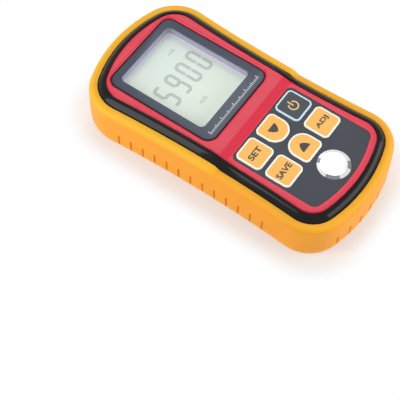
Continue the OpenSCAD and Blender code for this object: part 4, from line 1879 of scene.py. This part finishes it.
@dataclass(frozen=True)
class Keypad:
    """Overlay sheet with six keys and their marks."""

    face: Face
    keys: tuple[Key, ...] = (
        Key("speed", Mark.SPEED), Key("down", Mark.DOWN, r_low=6.4), Key("power", Mark.POWER, DARK_KEY),
        Key("save", Mark.SAVE), Key("up", Mark.UP, r_top=6.4), Key("adjust", Mark.ADJUST))
    sheet_foot_r: float = 67.0
    sheet_corner_r: float = 4.0
    sheet_top_r: float = 2.5
    sheet_edge: float = 0.08
    gap: float = 0.25
    flange: float = 0.8
    flange_t: float = 1.0
    border: float = 0.85
    edge: float = 0.15
    stem_r: float = 2.2
    stem_h: float = 0.4
    stem_steps: int = 32
    mark_t: float = 0.02
    word_h: float = 3.15
    word_bold: float = 0.03
    word_len: float = 3.6
    letter_len: float = 1.6
    arrow_half: float = 2.8
    arrow_h: float = 4.2
    arrow_bow: float = 5.6
    power_r: float = 2.7
    power_w: float = 0.75
    power_gap: float = math.radians(32)
    power_steps: int = 40
    power_bar: float = 3.6
    power_bar_y: float = 1.75

    @classmethod
    def outline(cls, key: Key, grow: float = 0.0) -> Outline:
        """Return the outline of a key's cap, or of a window round it.

        Args:
            key: The key.
            grow: How far the outline lies outside the cap.

        Returns:
            The outline.
        """
        box = Box.of(key.node)
        width = box.size.x - 2 * cls.flange + 2 * grow
        return Outline.round_box(box.middle, width, width, key.r_top + grow, key.r_low + grow)

    @classmethod
    def openings(cls, face: Face) -> list[Outline]:
        """Return the openings that the keys and the test block pass through.

        Args:
            face: The face, which gives the gap round the block.

        Returns:
            The outlines, the block's last.
        """
        block = Box.of("test_block")
        hole = Outline.circle(block.middle, block.size.x / 2 + face.gap)
        return [*(cls.outline(key, cls.gap) for key in cls.keys), hole]

    @classmethod
    def overlay_outline(cls) -> Outline:
        """Return the overlay's outline.

        Returns:
            A box with an arched lower edge.
        """
        box = Box.of("keypad_overlay")
        half, foot_r, corner_r, top_r = box.size.x / 2, cls.sheet_foot_r, cls.sheet_corner_r, cls.sheet_top_r
        foot = Vector((0.0, foot_r + box.low.y))
        side = half - corner_r
        corner = Vector((side, foot.y - math.sqrt((foot_r - corner_r) ** 2 - side * side)))
        turn = math.atan2(corner.y - foot.y, corner.x - foot.x)
        low = Arc(tuple(corner), corner_r, turn, -turn)
        high = Arc((half - top_r, box.high.y - top_r), top_r, 0.0, QUARTER)
        arch = Arc(tuple(foot), foot_r, -math.pi - turn, 2 * turn + math.pi)
        return Outline((arch, low, high, high.mirrored(), low.mirrored()))

    def build(self) -> None:
        """Build the overlay and every key, and dress what lies under them."""
        self.build_overlay()
        plunger = Moulding("plunger_grey", ink(186, 188, 194), ink(176, 178, 184))
        for key in self.keys:
            self.build_key(key)
            self.build_mark(key)
            smooth_copy("plunger_" + key.name, plunger, key.body)
        dress("switch_bodies", Moulding("switch_black", ink(52, 54, 58), ink(44, 46, 50), roughness=0.5))

    def build_overlay(self) -> None:
        """Build the overlay with its windows."""
        low, high = Box.of("keypad_overlay").low.z, Box.of("keypad_overlay").high.z
        form = Form()
        base = form.draw(self.overlay_outline(), Ring(0.0, low))
        top = form.sweep(base, [Ring(0.0, high - self.sheet_edge), Ring(-self.sheet_edge, high)])
        lowers = [form.draw(outline, Ring(0.0, low)) for outline in self.openings(self.face)]
        uppers = [form.sweep(loop, [Ring(0.0, high)]) for loop in lowers]
        form.fill(base, *lowers)
        form.fill(top, *uppers)
        sheet = Moulding("overlay_sheet", ink(58, 63, 72), ink(54, 59, 68),
                         roughness=0.45, grain=0.12, relief=0.004, specular=0.3)
        add_piece(form.mesh("overlay"), [sheet], ["keypad_overlay"])

    def build_key(self, key: Key) -> None:
        """Build a key: flange, cap with a printed border, and stem.

        Args:
            key: The key.
        """
        box = Box.of(key.node)
        low, high = box.low.z, box.high.z
        flange_low = low + self.stem_h
        flange_top = flange_low + self.flange_t
        form = Form()
        base = form.draw(self.outline(key), Ring(self.flange, flange_low))
        foot = form.sweep(base, [Ring(self.flange, flange_top), Ring(0.0, flange_top)])
        rounding = Ring.edge(Ring(0.0, high), self.edge)
        rim = form.sweep(foot, [*rounding, Ring(-self.border, high)], paint=1)
        form.fill(rim)
        form.fill(base)
        stem = [(0.0, low), (self.stem_r, low), (self.stem_r, flange_low), (0.0, flange_low)]
        form.lathe(stem, box.axis, steps=self.stem_steps)
        finishes = [key.look.cap, key.look.border]
        add_piece(form.mesh("cap_" + key.name), finishes, [key.node], key.body)

    def build_mark(self, key: Key) -> None:
        """Print a key's mark on its cap.

        Args:
            key: The key.
        """
        form = Form()
        if key.mark is Mark.POWER:
            self.draw_power(form)
        elif key.mark in (Mark.DOWN, Mark.UP):
            self.draw_arrow(form, key.mark is Mark.DOWN)
        else:
            words = key.mark.value
            length = self.word_len + self.letter_len * len(words)
            form.bm.from_mesh(Lettering(words, self.word_h, length, self.word_bold).mesh())
        box = Box.of(key.node)
        spot = Vector((box.middle.x, box.middle.y, box.high.z))
        bmesh.ops.translate(form.bm, vec=spot, verts=form.bm.verts)
        add_piece(form.mesh("mark_" + key.name), [key.look.mark], (), key.body)

    def draw_arrow(self, form: Form, down: bool) -> None:
        """Draw an arrow mark with two bowed sides.

        Args:
            form: The form that takes the mark.
            down: Whether it points down.
        """
        corner, tip = Vector((self.arrow_half, -self.arrow_h / 2)), Vector((0.0, self.arrow_h / 2))
        center = Face.meet(corner, self.arrow_bow, tip, self.arrow_bow, -1)
        start = math.atan2(corner.y - center.y, corner.x - center.x)
        sweep = math.atan2(tip.y - center.y, tip.x - center.x) - start
        side = Arc(tuple(center), self.arrow_bow, start, sweep)
        base = form.draw(Outline((side, side.mirrored())), Ring(0.0, 0.0))
        form.fill(form.sweep(base, [Ring(0.0, self.mark_t)]))
        form.fill(base)
        if down:
            turn = Matrix.Rotation(math.pi, 3, "Z")
            bmesh.ops.rotate(form.bm, cent=(0, 0, 0), matrix=turn, verts=form.bm.verts)

    def draw_power(self, form: Form) -> None:
        """Draw an open ring with an upright bar.

        Args:
            form: The form that takes the mark.
        """
        inner, outer = self.power_r - self.power_w, self.power_r
        profile = [(inner, 0.0), (outer, 0.0), (outer, self.mark_t), (inner, self.mark_t)]
        place = Matrix.Rotation(QUARTER + self.power_gap, 4, "Z")
        form.lathe(profile, place, closed=True, turn=2 * (math.pi - self.power_gap), steps=self.power_steps)
        Bar(Vector((0.0, self.power_bar_y, 0.0)), self.power_bar, self.power_w, self.mark_t).add(form)


@dataclass(frozen=True)
class TestBlock:
    """Polished steel disc of known thickness."""

    bevel_w: float = 1.9
    bevel_h: float = 0.55
    soft: float = 0.12
    steps: int = 96
    sharp: float = 30.0

    def build(self) -> None:
        """Turn the disc from its section and give its bevel painted reflections."""
        box = Box.of("test_block")
        r, low, high = box.size.x / 2, box.low.z, box.high.z
        s, w, h = self.soft, self.bevel_w, self.bevel_h
        profile = [(0.0, low), (r - s, low), (r, low + s), (r, high - h - s), (r - s / 3, high - h),
                   (r - w + s, high - s / 3), (r - w - s, high), (0.0, high)]
        form = Form()
        form.lathe(profile, box.axis, steps=self.steps)
        # The bevel's faces take the finish with painted reflections
        for item in form.bm.faces:
            if high - h - s / 4 < item.calc_center_median().z < high - s / 4:
                item.material_index = 1
        middle = tuple(box.middle.xy)
        steel = Metal("polished_steel", ink(236, 238, 240), 0.12, Lay.TURNED, middle, relief=0.0008)
        ring = PaintedReflectionRing("bevel_steel", middle)
        add_piece(form.mesh("steel_disc", self.sharp), [steel, ring], ["test_block"])


@dataclass(frozen=True)
class Back:
    """Rear case, battery door, cells, board and screws."""

    spring_sharp: float = 60.0

    def dress(self) -> None:
        """Give the pieces of the back their finishes."""
        grained = Moulding("rear_moulding", ink(30, 31, 35), ink(26, 27, 31), 0.5, grain=0.35, relief=0.012)
        smooth_copy("rear_case", grained)
        dress("battery_door", Moulding("door_moulding", ink(36, 37, 41), ink(31, 32, 36),
                                       roughness=0.52, grain=0.35, relief=0.012))
        smooth_copy("battery_cells", CellSleeve("cell_sleeve"))
        plated = Metal("spring_plating", ink(200, 203, 208), roughness=0.25)
        smooth_copy("battery_springs", plated, sharp=self.spring_sharp)
        dress("battery_contacts", Metal("contact_plating", ink(206, 208, 212), 0.3, Lay.ALONG))
        dress("main_board", Lacquer("board_lacquer"))
        chips = Moulding("chip_black", ink(44, 45, 50), ink(38, 39, 44), roughness=0.5)
        smooth_copy("board_parts", chips)
        zinc = Metal("screw_zinc", ink(166, 170, 176), roughness=0.34)
        for node in ("case_screws", "board_screws"):
            smooth_copy(node, zinc)


@dataclass(frozen=True)
class Softbox:
    """Rectangular lamp, in metres and watts."""

    name: str
    spot: tuple[float, float, float]
    aim: tuple[float, float, float]
    size: Pair
    power: float

    def build(self) -> None:
        """Put the lamp in its place, out of the camera's sight."""
        lamp = bpy.data.lights.new(self.name, "AREA")
        lamp.shape = "RECTANGLE"
        lamp.size, lamp.size_y = self.size
        lamp.energy = self.power
        holder = put(self.name, lamp)
        holder.location = self.spot
        holder.rotation_euler = (Vector(self.aim) - Vector(self.spot)).to_track_quat("-Z", "Y").to_euler()
        holder.visible_camera = False


@dataclass(frozen=True)
class Studio:
    """Floor, lamps, world and camera."""

    eye: tuple[float, float, float] = (-244.9, -150.7, 455.8)
    azimuth: float = math.radians(-54.72)
    elevation: float = math.radians(60.97)
    roll: float = math.radians(0.09)
    lens: float = 98.15
    near: float = 0.01
    floor_size: float = 3.0
    foot_corner: float = 20.0
    ambient: float = 0.44
    lamps: tuple[Softbox, ...] = (
        Softbox("top_softbox", (0.48, 0.30, 0.90), aim=(0.0, 0.0, 0.0), size=(0.5, 0.5), power=2.0),
        Softbox("left_softbox", (-0.45, 0.30, 0.44), aim=(0.0, 0.30, 0.44), size=(0.35, 0.82), power=3.4),
        Softbox("front_softbox", (0.21, -0.45, 0.18), aim=(0.0, 0.0, 0.02), size=(0.56, 0.3), power=1.6))

    def build(self) -> None:
        """Build the studio."""
        self.build_floor()
        self.build_world()
        for lamp in self.lamps:
            lamp.build()
        self.build_camera()
        bpy.context.scene.view_settings.view_transform = "Standard"

    def build_floor(self) -> None:
        """Build a pale floor that keeps the shadow close to the gauge."""
        form = bmesh.new()
        bmesh.ops.create_grid(form, x_segments=1, y_segments=1, size=self.floor_size)
        mesh = bpy.data.meshes.new("floor")
        form.to_mesh(mesh)
        form.free()
        floor = put("floor", mesh)
        low, high = (Vector(corner) / MM for corner in CAD_BOX)
        foot = RoundPlan(tuple(((low + high) / 2).xy), tuple(((high - low) / 2).xy), self.foot_corner)
        mesh.materials.append(material_of(PaleFloor("pale_floor", foot)))

    def build_world(self) -> None:
        """Build a white world that lights softly."""
        world = bpy.data.worlds.new("studio_world")
        bpy.context.scene.world = world
        world.use_nodes = True
        graph = Graph(world.node_tree)
        strength = self.ambient + (1 - self.ambient) * graph.seen()
        light = graph.node("ShaderNodeBackground", inputs={"Color": WHITE, "Strength": strength})
        graph.end("ShaderNodeOutputWorld", light)

    def build_camera(self) -> None:
        """Build the camera at the photograph's place."""
        turned = Vector((math.sin(self.azimuth), -math.cos(self.azimuth), 0.0))
        back = math.cos(self.elevation) * turned + Vector((0.0, 0.0, math.sin(self.elevation)))
        camera = bpy.data.cameras.new("camera")
        camera.lens = self.lens
        camera.clip_start = self.near
        holder = put("camera", camera)
        turn = back.to_track_quat("Z", "Y").to_matrix() @ Matrix.Rotation(self.roll, 3, "Z")
        holder.matrix_world = Matrix.Translation(Vector(self.eye) * MM) @ turn.to_4x4()
        bpy.context.scene.camera = holder


def main() -> None:
    """Build the gauge piece by piece."""
    logging.basicConfig(level=logging.INFO, format="%(message)s")
    face, sockets = Face(), Sockets()
    Boot(face, Notches()).build(sockets)
    FrontCase(face).build(sockets)
    FacePlate(face).build()
    Display().build()
    Keypad(face).build()
    TestBlock().build()
    sockets.dress()
    Back().dress()
    Studio().build()


if __name__ == "__main__":
    main()
